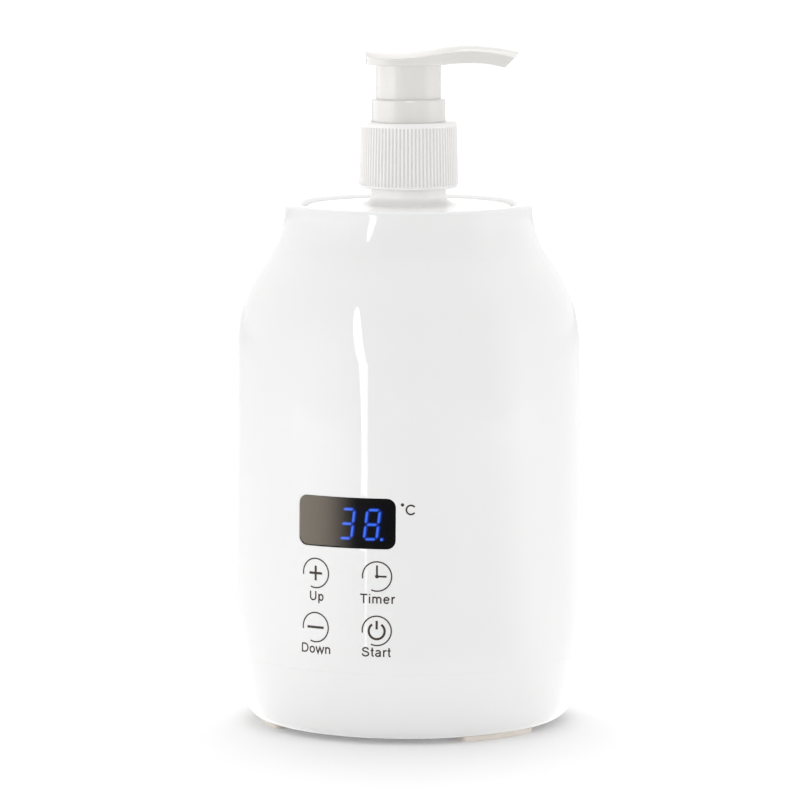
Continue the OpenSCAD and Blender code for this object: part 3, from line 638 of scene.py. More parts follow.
def windowSeat(plan, profile):
    # the opening, with an eased edge and the ledge that the window lies on
    up, half = window["up"], window["across"] // 2
    seat, thick, ledge, wall = window["ease"], window["thick"], window["ledge"], shell["wall"]
    outerLow = rowNear(profile, (wallRadius(window["blockLow"]), window["blockLow"]))
    innerHigh = rowNear(profile, (wallRadius(window["blockHigh"], wall), window["blockHigh"]))

    def flat(v):
        return Vector((v.x, v.z - window["z"]))

    edge = openBlock(plan, (outerLow, outerLow + up), (-half, half), flat, onFront(0), windowOutline(0),
                     outerShares)
    steps = [(seat * inwards, seat * down) for inwards, down in seatCurve]
    through = joinRings(plan, edge, windowRings(steps + [(seat, thick), (ledge, thick), (ledge, wall)]))
    openBlock(plan, (innerHigh + up, innerHigh), (-half, half), flat, onFront(wall), windowOutline(ledge),
              wallShares, through)


def makeHousing():
    seam, seamEase = shell["seamZ"], shell["seamEase"]
    lip = tongueOut + shell["fit"]
    grooveTop = seam + shell["tongueH"] + shell["tongueGap"]
    lastTurn = math.degrees(math.asin((waistC[1] - mouthUnder) / (shell["waistR"] + shell["wall"])))
    mouthC = (shell["mouthR"] + shell["mouthRound"], rimZ - shell["mouthRound"])
    outside = skinRun(0, seam + seamEase, 0)
    profile = joinRuns(edgeRound(blendPoint(seam), (lip, seam), outside[0], seamEase), outside,
                       arc((rimR - shell["rimRound"], waistC[1]), shell["rimRound"], 0, 90, 10),
                       arc(mouthC, shell["mouthRound"], 90, 180, 12), [(shell["mouthR"], mouthUnder)],
                       list(reversed(skinRun(shell["wall"], grooveTop, lastTurn))),
                       [(lip, grooveTop), (lip, seam)])
    plan = startTurned(profile, shell["columns"])
    windowSeat(plan, profile)
    closeTurned(plan, loop=True)
    return makePiece("housingShell", plan)


dress(makeHousing(), "warmer", housingWhite, "gloss_white", "housing_shell")
print("housing turned")

# Base bowl: screw pockets in its underside and the jack's seat at the back

bowl = {"screwAngles": (32, 120, -120, -32), "screwRing": 44.7, "pocketR": 2.95, "pocketTop": 6,
        "pocketEase": 0.25, "shankR": 1.5, "bossR": 4.1, "bossTop": 13.95, "cells": 10, "blockLow": 38.7,
        "blockHigh": 50.7}
jack = {"z": 15, "seatDepth": 3, "seatR": 5.95, "bodyR": 4.1, "bossR": 8.05, "bossDeep": 4.8, "ease": 0.2,
        "clear": 0.05, "cells": 12, "blockLow": 6, "blockHigh": 24, "flangeR": 5.65, "flangeT": 1.2,
        "boreR": 2.75, "boreDeep": 9.5, "length": 12, "pinR": 1.05, "pinSink": 1, "columns": 64,
        "pinColumns": 32}
bossShares = (0.6, 0.25, 0)
jackY = blendPoint(jack["z"])[0] - jack["seatDepth"]


def turnedFrom(v, angle, ring):
    # a point on the floor as seen from a screw: across, and outwards
    return Vector((v.x * cosd(angle) + v.y * sind(angle), v.x * sind(angle) - v.y * cosd(angle) - ring))


def floorPoint(p, angle, ring, z):
    out = p.y + ring
    return Vector((p.x * cosd(angle) + out * sind(angle), p.x * sind(angle) - out * cosd(angle), z))


def bowlSide(inset, low, high):
    # heights lie close together near the floor, where the wall curves most
    first = jack["blockLow"]
    heights = joinSteps(spread(low, first, 10), spread(first, jack["blockHigh"], jack["cells"]), [high])
    return [blendPoint(low + (z - low) ** 2 / (first - low) if z < first else z, inset) for z in heights]


def makeBowl():
    seam, seamEase = shell["seamZ"], shell["seamEase"]
    radii = joinSteps(spread(0, bowl["blockLow"], 4),
                      spread(bowl["blockLow"], bowl["blockHigh"], bowl["cells"]), [baseR])
    outside = bowlSide(0, shell["footH"], seam - seamEase)
    inside = bowlSide(shell["wall"], floorZ, seam)
    tongueTop = seam + shell["tongueH"]
    tongue = [(tongueOut, seam), (tongueOut, tongueTop), (tongueOut - shell["tongueT"], tongueTop)]
    profile = joinRuns([(r, shell["footH"]) for r in radii], outside,
                       edgeRound(blendPoint(seam), outside[-1], tongue[0], seamEase), tongue,
                       [blendPoint(seam, shell["wall"])], list(reversed(inside)),
                       [(r, floorZ) for r in reversed(radii)])
    plan = startTurned(profile, shell["columns"])
    for angle in bowl["screwAngles"]:
        screwPocket(plan, profile, angle)
    jackSeat(plan, profile)
    closeTurned(plan)
    return makePiece("baseBowl", plan)


def screwPocket(plan, profile, angle):
    ring, cells = bowl["screwRing"], bowl["cells"]
    first = round(angle / 360 * shell["columns"]) - cells // 2
    columns = (first, first + cells)
    outerLow = rowNear(profile, (bowl["blockLow"], shell["footH"]))
    innerHigh = rowNear(profile, (bowl["blockHigh"], floorZ))

    def flat(v):
        return turnedFrom(v, angle, ring)

    def atHeight(z):
        return lambda p: floorPoint(p, angle, ring, z)

    edge = openBlock(plan, (outerLow, outerLow + cells), columns, flat, atHeight(shell["footH"]),
                     circleOutline(bowl["pocketR"] + bowl["pocketEase"], cells), outerShares)
    steps = [(bowl["pocketR"], shell["footH"] + bowl["pocketEase"]), (bowl["pocketR"], bowl["pocketTop"]),
             (bowl["shankR"], bowl["pocketTop"]), (bowl["shankR"], bowl["bossTop"]),
             (bowl["bossR"], bowl["bossTop"])]
    top = joinRings(plan, edge, [[atHeight(z)(p) for p in circleOutline(r, cells)] for r, z in steps])
    openBlock(plan, (innerHigh + cells, innerHigh), columns, flat, atHeight(floorZ),
              circleOutline(bowl["bossR"], cells), bossShares, top)


def jackSeat(plan, profile):
    cells = jack["cells"]
    first = shell["columns"] // 2 - cells // 2
    columns = (first, first + cells)
    outerLow = rowNear(profile, blendPoint(jack["blockLow"]))
    innerHigh = rowNear(profile, blendPoint(jack["blockHigh"], shell["wall"]))

    def flat(v):
        return Vector((-v.x, v.z - jack["z"]))

    def onBack(inset):
        def lift(p):
            r, z = blendPoint(p.y + jack["z"], inset)
            return Vector((-p.x, math.sqrt(r * r - p.x * p.x), z))
        return lift

    def disc(radius, y):
        return [Vector((-p.x, y, p.y + jack["z"])) for p in circleOutline(radius, cells)]

    edge = openBlock(plan, (outerLow, outerLow + cells), columns, flat, onBack(0),
                     circleOutline(jack["seatR"] + jack["ease"], cells), outerShares)
    eased = [onBack(jack["ease"])(p) for p in circleOutline(jack["seatR"], cells)]
    deep = jackY - jack["bossDeep"]
    steps = [(jack["seatR"], jackY), (jack["bodyR"], jackY), (jack["bodyR"], deep), (jack["bossR"], deep)]
    through = joinRings(plan, edge, [eased] + [disc(r, y) for r, y in steps])
    openBlock(plan, (innerHigh + cells, innerHigh), columns, flat, onBack(shell["wall"]),
              circleOutline(jack["bossR"], cells), bossShares, through)


dress(makeBowl(), "warmer", housingWhite, "gloss_white", "base_bowl")


def turnToBack(piece):
    # a piece turned round Z is laid along +Y at the jack's height
    for v in piece.data.vertices:
        x, y, z = v.co
        v.co = (x, z, -y + jack["z"] * mm)
    return piece


def makeJack():
    face, back = jackY + jack["flangeT"], jackY - jack["length"]
    deep, barrel = face - jack["boreDeep"], jack["bodyR"] - jack["clear"]
    outline = [(barrel, back), (barrel, jackY), (jack["flangeR"], jackY), (jack["flangeR"], face),
               (jack["boreR"], face), (jack["boreR"], deep)]
    profile = joinRuns([(0, back)], softened(outline, jack["ease"], closed=False), [(0, deep)])
    return turnToBack(turnedPiece("jackSocket", profile, jack["columns"]))


def makePin():
    r, tip = jack["pinR"], jackY - jack["pinSink"]
    deep = jackY + jack["flangeT"] - jack["boreDeep"]
    profile = joinRuns([(0, deep), (r, deep)], arc((0, tip - r), r, 0, 90, 10))
    return turnToBack(turnedPiece("jackPin", profile, jack["pinColumns"]))


dress(makeJack(), "warmer", jackBlack, "black_plastic", "power_jack")
dress(makePin(), "warmer", pinBrass, "pin_brass", "jack_pin")
print("bowl and jack made")

# Foot pads and screws

pad = {"outer": 50.5, "inner": 42, "span": 35.5, "height": 2, "ease": 0.45, "endRound": 1.6, "endSteps": 5,
       "steps": 26, "sharp": 50, "angles": (60, 180, 300)}
screw = {"headR": 2.9, "headLow": 4, "headTop": 6, "dome": 0.35, "slotLong": 3.6, "slotWide": 0.75,
         "slotDeep": 1.1, "slotTaper": 0.6, "shankR": 1.45, "shankTop": 26, "point": 2, "columns": 48,
         "sharp": 30}


def makePad():
    # one arc-shaped pad on the panel's side; the copies are turned to their places
    inner, outer, steps = pad["inner"], pad["outer"], pad["steps"]
    outline = softened([(inner, 0), (outer, 0), (outer, pad["height"]), (inner, pad["height"])], pad["ease"])
    half, middle, halfWide = pad["span"] / 2, (outer + inner) / 2, (outer - inner) / 2
    endTurn = math.degrees(pad["endRound"] / middle)
    quarter = spread(0, 90, pad["endSteps"])
    starts, opening = [-half + endTurn * (1 - cosd(a)) for a in quarter], [sind(a) for a in quarter]
    turns = starts + spread(-half + endTurn, half - endTurn, steps)[1:-1] + [-a for a in reversed(starts)]
    sections = []
    for turn, full in zip(turns, opening + [1] * (steps - 1) + list(reversed(opening))):
        share = 1 - (1 - full) * pad["endRound"] / halfWide
        drawnIn = [(middle + (r - middle) * share, z) for r, z in outline]
        sections.append([Vector((r * sind(turn), -r * cosd(turn), z)) for r, z in drawnIn])
    plan = {"verts": [], "faces": []}
    closeBar(plan, sections)
    return makePiece("padSeed", plan, pad["sharp"])


def makeScrew():
    # a pan head with a cross slot, seen from below, on a plain shank
    s = screw
    dome = [(s["headR"] * sind(a), s["headLow"] + s["dome"] * (1 - cosd(a))) for a in spread(0, 90, 6)]
    profile = joinRuns([(0, s["headLow"])], dome,
                       [(s["headR"], s["headTop"]), (s["shankR"], s["headTop"]),
                        (s["shankR"], s["shankTop"] - s["point"]), (0, s["shankTop"])])
    piece = turnedPiece("screwSeed", profile, s["columns"])
    slot = bmesh.new()
    for wide, long in ((s["slotWide"], s["slotLong"]), (s["slotLong"], s["slotWide"])):
        for v in bmesh.ops.create_cube(slot, size=1)["verts"]:
            taper = 1 if v.co.z < 0 else s["slotTaper"]
            v.co = Vector((v.co.x * wide * taper, v.co.y * long * taper,
                           s["headLow"] + v.co.z * 2 * s["slotDeep"])) * mm
    combine(piece, meshPiece("slotSeed", slot), "DIFFERENCE", crossing=True)
    smoothShade(piece.data, s["sharp"])
    return piece


feet = copyAround("footPads", makePad(), [(0, 0, 0, a) for a in pad["angles"]], padCream)
dress(feet, "warmer", None, "pad_cream", "foot_pads")
screwRing = bowl["screwRing"]
screwPlaces = [(screwRing * sind(a), -screwRing * cosd(a), 0, a) for a in bowl["screwAngles"]]
baseScrews = copyAround("baseScrews", makeScrew(), screwPlaces, screwSteel)
dress(baseScrews, "warmer", None, "steel", "base_screws")
print("feet and screws placed")

# Display: smoked window with lit bars behind it


faceShares = (0.66, 0.33, 0.1, 0)


def makeWindow():
    # a curved plate: each face is a grid of cells with rings round it
    across, up, gap = window["across"], window["up"], window["gap"]
    w, h = window["w"] * window["gridW"], window["h"] * window["gridH"]
    xs, ys = spread(-w, w, across), spread(-h, h, up)
    plan = {"verts": [], "faces": []}

    def face(depth, shrink):
        lift = onFront(depth)
        grid = [addRing(plan, [lift(Vector((x, y))) for x in xs]) for y in ys]
        for low, high in zip(grid, grid[1:]):
            for j in range(across):
                addFace(plan, [low[j], low[j + 1], high[j + 1], high[j]])
        edge = [(0, j) for j in range(across)] + [(i, across) for i in range(up)]
        edge += [(up, j) for j in range(across, 0, -1)] + [(i, 0) for i in range(up, 0, -1)]
        pairs = list(zip(windowOutline(shrink), (Vector((xs[j], ys[i])) for i, j in edge)))
        rings = [[lift(p.lerp(f, share)) for p, f in pairs] for share in faceShares]
        return joinRings(plan, [grid[i][j] for i, j in edge], rings)

    e, sunk = window["edge"], window["sunk"]
    front = face(sunk, gap + e)
    back = face(window["thick"] - sunk, gap)
    steps = [(gap + e * inwards, sunk + e * down) for inwards, down in edgeCurve]
    joinRings(plan, front, windowRings(steps), back)
    return makePiece("displayWindow", plan)


windowPiece = dress(makeWindow(), "warmer", smokedWindow, "smoked_window", "display_window")

digit = {"h": 10.9, "w": 5.35, "places": 3, "pitch": 8.6, "first": -8.3, "drop": 0.5, "bar": 1.15,
         "gap": 0.3, "slant": 6.5, "dotR": 0.62, "dotOut": 1.1, "dotSteps": 18, "depth": 1.4, "thick": 1.0,
         "coreLong": 0.72, "coreWide": 0.22, "coreDot": 0.5}
litBars = {1: "abcdg", 2: "abcdefg"}  # the left place is dark, then a 3 and an 8
litDots = (2,)
barW, barH = digit["w"] - digit["bar"], (digit["h"] - digit["bar"]) / 2
slope = math.tan(math.radians(digit["slant"]))


def barPlaces():
    x, y = barW / 2, barH / 2
    return {"a": (0, barH, False), "g": (0, 0, False), "d": (0, -barH, False), "b": (x, y, True),
            "c": (x, -y, True), "f": (-x, y, True), "e": (-x, -y, True)}


def barOutline(upright):
    long, half = ((barH if upright else barW) - digit["gap"]) / 2, digit["bar"] / 2
    points = [(-long, 0), (-long + half, -half), (long - half, -half), (long, 0), (long - half, half),
              (-long + half, half)]
    return [(y, x) for x, y in points] if upright else points


def addBar(shape, core, outline, place, shrink, leaning=0.0):
    # a closed bar with a smaller outline in its face, so the glow can fade to its edges
    left, x, y = place

    def put(points, depth, value):
        ring = []
        for u, v in points:
            flat = Vector((u + x + (v + y) * leaning + left, v + y - digit["drop"]))
            vert = shape.verts.new(onFront(depth)(flat) * mm)
            vert[core] = value
            ring.append(vert)
        return ring

    inner = [(u * shrink[0], v * shrink[1]) for u, v in outline]
    face, back = digit["depth"], digit["depth"] + digit["thick"]
    rings = [put(inner, face, 1.0), put(outline, face, 0.0), put(outline, back, 0.0)]
    shape.faces.new(rings[0])
    shape.faces.new(list(reversed(rings[2])))
    for a, b in zip(rings, rings[1:]):
        for k in range(len(a)):
            n = (k + 1) % len(a)
            shape.faces.new((a[k], a[n], b[n], b[k]))


def makeDigits(name, lit):
    shape = bmesh.new()
    core = shape.verts.layers.float.new("core")
    along, across = (digit["coreLong"], digit["coreWide"]), (digit["coreWide"], digit["coreLong"])
    dot = arc((0, 0), digit["dotR"], 0, 360, digit["dotSteps"])[:-1]
    dotX = digit["w"] / 2 - barH * slope + digit["dotOut"]
    for place in range(digit["places"]):
        left = digit["first"] + place * digit["pitch"]
        for bar, (x, y, upright) in barPlaces().items():
            if (bar in litBars.get(place, "")) == lit:
                shrink = across if upright else along
                addBar(shape, core, barOutline(upright), (left, x, y), shrink, slope)
        if (place in litDots) == lit:
            addBar(shape, core, dot, (left, dotX, -barH), (digit["coreDot"], digit["coreDot"]))
    bmesh.ops.recalc_face_normals(shape, faces=shape.faces)
    return meshPiece(name, shape)


dress(makeDigits("litDigits", True), "warmer", digitBlue, "digit_blue", "digit_segments")
dress(makeDigits("darkDigits", False), "warmer", darkBar, "digit_blue", "digit_segments")
print("display made")

# Printed keys: icons and words as a thin film of ink on the wall

ink = {"film": 0.045, "layer": 0.004, "sunk": 0.03, "step": 0.7, "mitre": 0.5, "sharp": 50, "ringR": 4.9,
       "ringLine": 0.45, "ringFrom": -113, "ringTo": 189, "wordHigh": 3.1, "wordGap": 0.065,
       "wordLine": 0.48}
keys = {"left": -10.65, "right": 11.25, "upper": 57.9, "lower": 39.75}
words = [("Up", -10.3, 48.75), ("Timer", 11.4, 48.9), ("Down", -10.55, 31.1), ("Start", 11.05, 31.1)]


def onPanel(x, z, depth):
    # a place on the panel, measured along the wall, at a depth under its surface
    r = wallRadius(z)
    a = x / r
    return Vector(((r - depth) * math.sin(a), -(r - depth) * math.cos(a), z))


def fineRun(points):
    # the same run in steps short enough to follow the wall's curve
    run = [points[0]]
    for a, b in zip(points, points[1:]):
        parts = max(1, math.ceil(math.dist(a, b) / ink["step"]))
        run += [tuple(Vector(a).lerp(Vector(b), k / parts)) for k in range(1, parts + 1)]
    return joinRuns(run)


def addStroke(plan, points, width, level=0):
    # a flat line of ink of a given width; a run that ends where it began is closed
    run = fineRun(points)
    closed = math.dist(run[0], run[-1]) < tiny
    if closed:
        run.pop()
    film, count, sections = -ink["film"] - level * ink["layer"], len(run), []
    for k, point in enumerate(run):
        here = Vector(point)
        ways = [here - Vector(run[k - 1])] if closed or k else []
        ways += [Vector(run[(k + 1) % count]) - here] if closed or k < count - 1 else []
        ways = [way.normalized() for way in ways]
        along = sum(ways, Vector((0, 0))).normalized()
        side = Vector((-along.y, along.x)) * width / 2 / max(ink["mitre"], along.dot(ways[0]))
        corners = [here + side, here - side]
        under = [onPanel(*c, ink["sunk"]) for c in reversed(corners)]
        sections.append([onPanel(*c, film) for c in corners] + under)
    if closed:
        first = addRing(plan, sections[0])
        joinRings(plan, first, sections[1:], first)
    else:
        closeBar(plan, sections)


def addDisc(plan, x, z, radius, level=0):
    ring = arc((x, z), radius, 0, 360, 20)[:-1]
    top = addRing(plan, [onPanel(*p, -ink["film"] - level * ink["layer"]) for p in ring])
    low = addRing(plan, [onPanel(*p, ink["sunk"]) for p in ring])
    stitch(plan, top, low)
    plan["faces"] += [top, low]


icon = {"plus": 2.45, "minus": 3.15, "signLine": 0.8, "handUp": 3.7, "handRight": 3.2, "handLine": 0.62,
        "hubR": 0.64, "powerR": 2.68, "powerDrop": 0.1, "powerFrom": 125, "powerTo": 415, "powerLine": 0.75,
        "powerLow": 0.5, "powerHigh": 3.35, "degreeX": 19.6, "degreeZ": 81.85, "degreeR": 0.56,
        "scaleX": 22.4, "scaleZ": 80.2, "scaleR": 1.52, "scaleFrom": 37, "scaleTo": 323, "scaleLine": 0.55}


def makeIcons():
    plan = {"verts": [], "faces": []}
    i, left, right, upper, lower = icon, keys["left"], keys["right"], keys["upper"], keys["lower"]
    for x in (left, right):
        for z in (upper, lower):
            addStroke(plan, arc((x, z), ink["ringR"], ink["ringFrom"], ink["ringTo"], 60), ink["ringLine"])
    addStroke(plan, [(left - i["plus"], upper), (left + i["plus"], upper)], i["signLine"])
    addStroke(plan, [(left, upper - i["plus"]), (left, upper + i["plus"])], i["signLine"], 1)
    addStroke(plan, [(left - i["minus"], lower), (left + i["minus"], lower)], i["signLine"])
    addStroke(plan, [(right, upper), (right, upper + i["handUp"])], i["handLine"])
    addStroke(plan, [(right, upper), (right + i["handRight"], upper)], i["handLine"], 1)
    addDisc(plan, right, upper, i["hubR"], 2)
    power = arc((right, lower - i["powerDrop"]), i["powerR"], i["powerFrom"], i["powerTo"], 44)
    addStroke(plan, power, i["powerLine"])
    addStroke(plan, [(right, lower + i["powerLow"]), (right, lower + i["powerHigh"])], i["powerLine"])
    addDisc(plan, i["degreeX"], i["degreeZ"], i["degreeR"])
    scale = arc((i["scaleX"], i["scaleZ"]), i["scaleR"], i["scaleFrom"], i["scaleTo"], 30)
    addStroke(plan, scale, i["scaleLine"])
    return makePiece("panelIcons", plan, ink["sharp"])


def flowing(points, steps=5):
    # a smooth line through the points
    ends = [points[0]] + points + [points[-1]]
    run = []
    for k in range(len(points) - 1):
        a, b, c, d = (Vector(p) for p in ends[k:k + 4])
        first, second, third = c - a, 2 * a - 5 * b + 4 * c - d, 3 * b - a - 3 * c + d
        run += [tuple(0.5 * (2 * b + first * t + second * t ** 2 + third * t ** 3))
                for t in spread(0, 1, steps)]
    return joinRuns(run)


def stem(x, low, high):
    return [(x, low), (x, high)]


letters = {  # width and strokes of each letter, in heights of a capital
    "D": (1.008, [[(0.174, 0.936), (0.174, 0.064)] + oval(0.5, 0.5, 0.4, 0.436, -90, 90)
                  + [(0.174, 0.936)]]),
    "S": (0.932, [flowing([(0.765, 0.715), (0.7, 0.86), (0.47, 0.94), (0.25, 0.87), (0.17, 0.735),
                           (0.25, 0.6), (0.47, 0.53), (0.7, 0.45), (0.8, 0.28), (0.7, 0.12), (0.46, 0.055),
                           (0.21, 0.13), (0.115, 0.32)])]),
    "T": (0.853, [[(0.03, 0.936), (0.82, 0.936)], stem(0.4265, 0, 0.9)]),
    "U": (1.008, [[(0.174, 1)] + oval(0.505, 0.35, 0.331, 0.3, 180, 360) + [(0.836, 1)]]),
    "a": (0.777, [oval(0.385, 0.5, 0.235, 0.175, 160, 0) + [(0.62, 0)],
                  flowing([(0.6, 0.42), (0.3, 0.36), (0.12, 0.2), (0.3, 0.05), (0.5, 0.1), (0.6, 0.22)])]),
    "e": (0.777, [oval(0.39, 0.36, 0.27, 0.315, 4, 322), [(0.15, 0.38), (0.64, 0.38)]]),
    "i": (0.31, [stem(0.155, 0, 0.725), stem(0.155, 0.872, 1)]),
    "m": (1.163, [stem(0.155, 0, 0.725), oval(0.3675, 0.45, 0.2125, 0.215, 180, 0) + [(0.58, 0)],
                  oval(0.7925, 0.45, 0.2125, 0.215, 180, 0) + [(1.005, 0)]]),
    "n": (0.777, [stem(0.155, 0, 0.725), oval(0.388, 0.45, 0.233, 0.215, 180, 0) + [(0.621, 0)]]),
    "o": (0.777, [oval(0.388, 0.36, 0.275, 0.315, 0, 360)]),
    "p": (0.777, [stem(0.155, -0.29, 0.725), oval(0.42, 0.36, 0.235, 0.315, 0, 360)]),
    "r": (0.465, [stem(0.155, 0, 0.725), oval(0.4, 0.4, 0.245, 0.275, 180, 75)]),
    "t": (0.388, [[(0.2, 0.96)] + oval(0.33, 0.19, 0.13, 0.13, 180, 270) + [(0.37, 0.06)],
                  [(0.03, 0.665), (0.36, 0.665)]]),
    "w": (1.008, [[(0.03, 0.725), (0.27, 0), (0.504, 0.68), (0.738, 0), (0.978, 0.725)]]),
}


def addWord(plan, text, x, z):
    size, gap = ink["wordHigh"], ink["wordGap"]
    at = x - (sum(letters[c][0] + gap for c in text) - gap) * size / 2
    for c in text:
        wide, strokes = letters[c]
        for level, stroke in enumerate(strokes):
            addStroke(plan, [(at + u * size, z + v * size) for u, v in stroke], ink["wordLine"], level)
        at += (wide + gap) * size


def makeWords():
    plan = {"verts": [], "faces": []}
    for word in words:
        addWord(plan, *word)
    return makePiece("panelWords", plan, ink["sharp"])


dress(makeIcons(), "warmer", panelInk, "black_plastic")
dress(makeWords(), "warmer", panelInk, "black_plastic")
print("panel printed")

# Heating cup and bottle

cup = {"inR": 35.9, "wall": 1.0, "floor": 23.8, "under": 22.6, "flangeR": 39.6, "footRound": 2.0,
       "lipRound": 0.6, "floorRound": 1, "columns": 144}
bottle = {"r": 35.3, "wall": 1.2, "low": 23.8, "foot": 4, "edge": 1.8, "fall": 0.4, "neckR": 12.7,
          "neckIn": 10.9, "sink": 0.6, "neckH": 23, "flare": (5.3, 3.2), "lipEase": 0.4, "floorFrom": 8,
          "columns": 144}
thread = {"r": 0.75, "rise": 0.8, "pitch": 4.2, "turns": 1.5, "up": 8.8, "endShare": 0.15, "endRate": 12,
          "endSink": 0.9, "sides": 10, "steps": 108}
bottleTop = rimZ - bottle["sink"]
neckTop = bottleTop + bottle["neckH"]
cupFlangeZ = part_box("heating_cup")[1].z / mm


def makeCup():
    c, outR, under = cup, cup["inR"] + cup["wall"], cupFlangeZ - cup["wall"]
    foot, lip, inside = c["footRound"], c["lipRound"], c["floorRound"]
    profile = joinRuns([(0, c["under"])], arc((outR - foot, c["under"] + foot), foot, -90, 0, 8),
                       [(outR, under), (c["flangeR"], under), (c["flangeR"], cupFlangeZ)],
                       arc((c["inR"] + lip, cupFlangeZ - lip), lip, 90, 180, 6),
                       arc((c["inR"] - inside, c["floor"] + inside), inside, 0, -90, 6), [(0, c["floor"])])
    return turnedPiece("heatingCup", profile, c["columns"])


def makeBottle():
    b, r, edge, foot, wall = bottle, bottle["r"], bottle["edge"], bottle["foot"], bottle["wall"]
    edgeIn, footIn, neckR, neckIn = edge - wall, foot - wall, b["neckR"], b["neckIn"]
    low, high = b["low"] + wall, bottleTop - wall - b["fall"]
    edgeZ = bottleTop - b["fall"] - edge
    flare = [(neckR + b["flare"][0] * (1 - sind(t)), bottleTop + b["flare"][1] * (1 - cosd(t)))
             for t in spread(0, 90, 14)]
    lip = edgeRound((neckR, neckTop), (neckR, bottleTop), (neckIn, neckTop), b["lipEase"])
    lip += edgeRound((neckIn, neckTop), (neckR, neckTop), (neckIn, bottleTop), b["lipEase"])
    profile = joinRuns([(0, b["low"])], [(x, b["low"]) for x in spread(b["floorFrom"], r - foot, 3)],
                       arc((r - foot, b["low"] + foot), foot, -90, 0, 12),
                       [(r, z) for z in spread(b["low"] + foot, edgeZ, 12)],
                       arc((r - edge, edgeZ), edge, 0, 90, 12), flare, lip, [(neckIn, high)],
                       arc((r - wall - edgeIn, high - edgeIn), edgeIn, 90, 0, 8),
                       arc((r - wall - footIn, low + footIn), footIn, 0, -90, 8), [(0, low)])
    plan = startTurned(profile, b["columns"])
    closeTurned(plan)
    addThread(plan)
    return makePiece("oilBottle", plan)


def addThread(plan):
    # a rib that winds up the neck and sinks into it at both ends
    sections = []
    for t in spread(0, 1, thread["steps"]):
        turn = 360 * thread["turns"] * t
        full = min(1, min(t, 1 - t) * thread["endRate"])
        size = thread["r"] * (thread["endShare"] + (1 - thread["endShare"]) * full)
        out = bottle["neckR"] + thread["rise"] - thread["r"] - (thread["r"] - size) * thread["endSink"]
        z = bottleTop + thread["up"] + thread["pitch"] * thread["turns"] * t
        ring = arc((out, z), size, 0, 360, thread["sides"])[:-1]
        sections.append([Vector((r * cosd(turn), r * sind(turn), h)) for r, h in ring])
    closeBar(plan, sections)


dress(makeCup(), "warmer", cupAluminium, "cup_aluminium", "heating_cup")
dress(makeBottle(), "bottle", bottleWhite, "bottle_white", "bottle")
print("cup and bottle made")

# Pump: ribbed cap, collar and press-down head

cap = {"lowR": 16.9, "topR": 16.3, "height": 22.3, "bore": 13.8, "gap": 0.15, "hole": 12.8, "ease": 0.55,
       "holeEase": 0.25, "boreEase": 0.3, "ribs": 80, "ribHigh": 0.42, "ribFrom": 0.75, "ribTo": 20.9,
       "ribFade": 0.5, "ribWall": 1, "columns": 800}
collar = {"r": 12.5, "bore": 11.06, "flangeR": 13.5, "flangeT": 1, "round": 0.8, "boreEase": 0.2,
          "columns": 128}
capLow, capHigh = (corner.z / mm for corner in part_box("closure_cap"))
collarLow, collarTop = (corner.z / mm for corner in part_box("pump_collar"))


def capRadius(z):
    # the root of the ribs, or the smooth band above them
    up = z - capLow
    full = cap["lowR"] + (cap["topR"] - cap["lowR"]) * (up / cap["height"])
    band = ease((up - cap["ribTo"]) / cap["ribFade"] + 1)
    foot = 1 - ease(up / cap["ribFrom"])
    return full - cap["ribHigh"] * (1 - max(band, foot))


def makeCap():
    e, fade, bore, hole = cap["ease"], cap["ribFade"], cap["bore"], cap["hole"]
    ceiling = collarLow + collar["flangeT"] + cap["gap"]
    low, high = capLow + cap["ribFrom"], capLow + cap["ribTo"]
    heights = joinSteps(spread(capLow + e, low, 3), spread(low, low + fade, 4),
                        spread(low + fade, high - fade, 6), spread(high - fade, high, 4),
                        spread(high, capHigh - e, 3))
    wall = [(capRadius(z), z) for z in heights]
    profile = joinRuns(edgeRound((wall[0][0], capLow), (bore, capLow), wall[0], e), wall,
                       edgeRound((wall[-1][0], capHigh), wall[-1], (hole, capHigh), e),
                       edgeRound((hole, capHigh), wall[-1], (hole, ceiling), cap["holeEase"]),
                       [(hole, ceiling), (bore, ceiling), (bore, capLow + cap["boreEase"]),
                        (bore + cap["boreEase"], capLow)])
    piece = turnedPiece("ribbedCap", profile, cap["columns"])
    values = {"Rib Count": cap["ribs"], "Rib Height": cap["ribHigh"] * mm, "Low": low * mm,
              "High": high * mm, "Fade": fade * mm, "Inside Radius": (bore + cap["ribWall"]) * mm,
              "Material": capWhite}
    return runTree(piece, ribbedWall, values)


def makeCollar():
    c, bore, flangeTop = collar, collar["bore"], collarLow + collar["flangeT"]
    profile = joinRuns([(bore, collarLow), (c["flangeR"], collarLow), (c["flangeR"], flangeTop)],
                       [(c["r"], z) for z in spread(flangeTop, collarTop - c["round"], 4)],
                       arc((c["r"] - c["round"], collarTop - c["round"]), c["round"], 0, 90, 10),
                       edgeRound((bore, collarTop), (c["r"], collarTop), (bore, collarLow), c["boreEase"]))
    return turnedPiece("pumpCollar", profile, c["columns"])


ribbedCap = dress(makeCap(), "cap", None, "pump_white", "closure_cap")
pumpCollar = dress(makeCollar(), "pump", pumpWhite, "pump_white", "pump_collar")

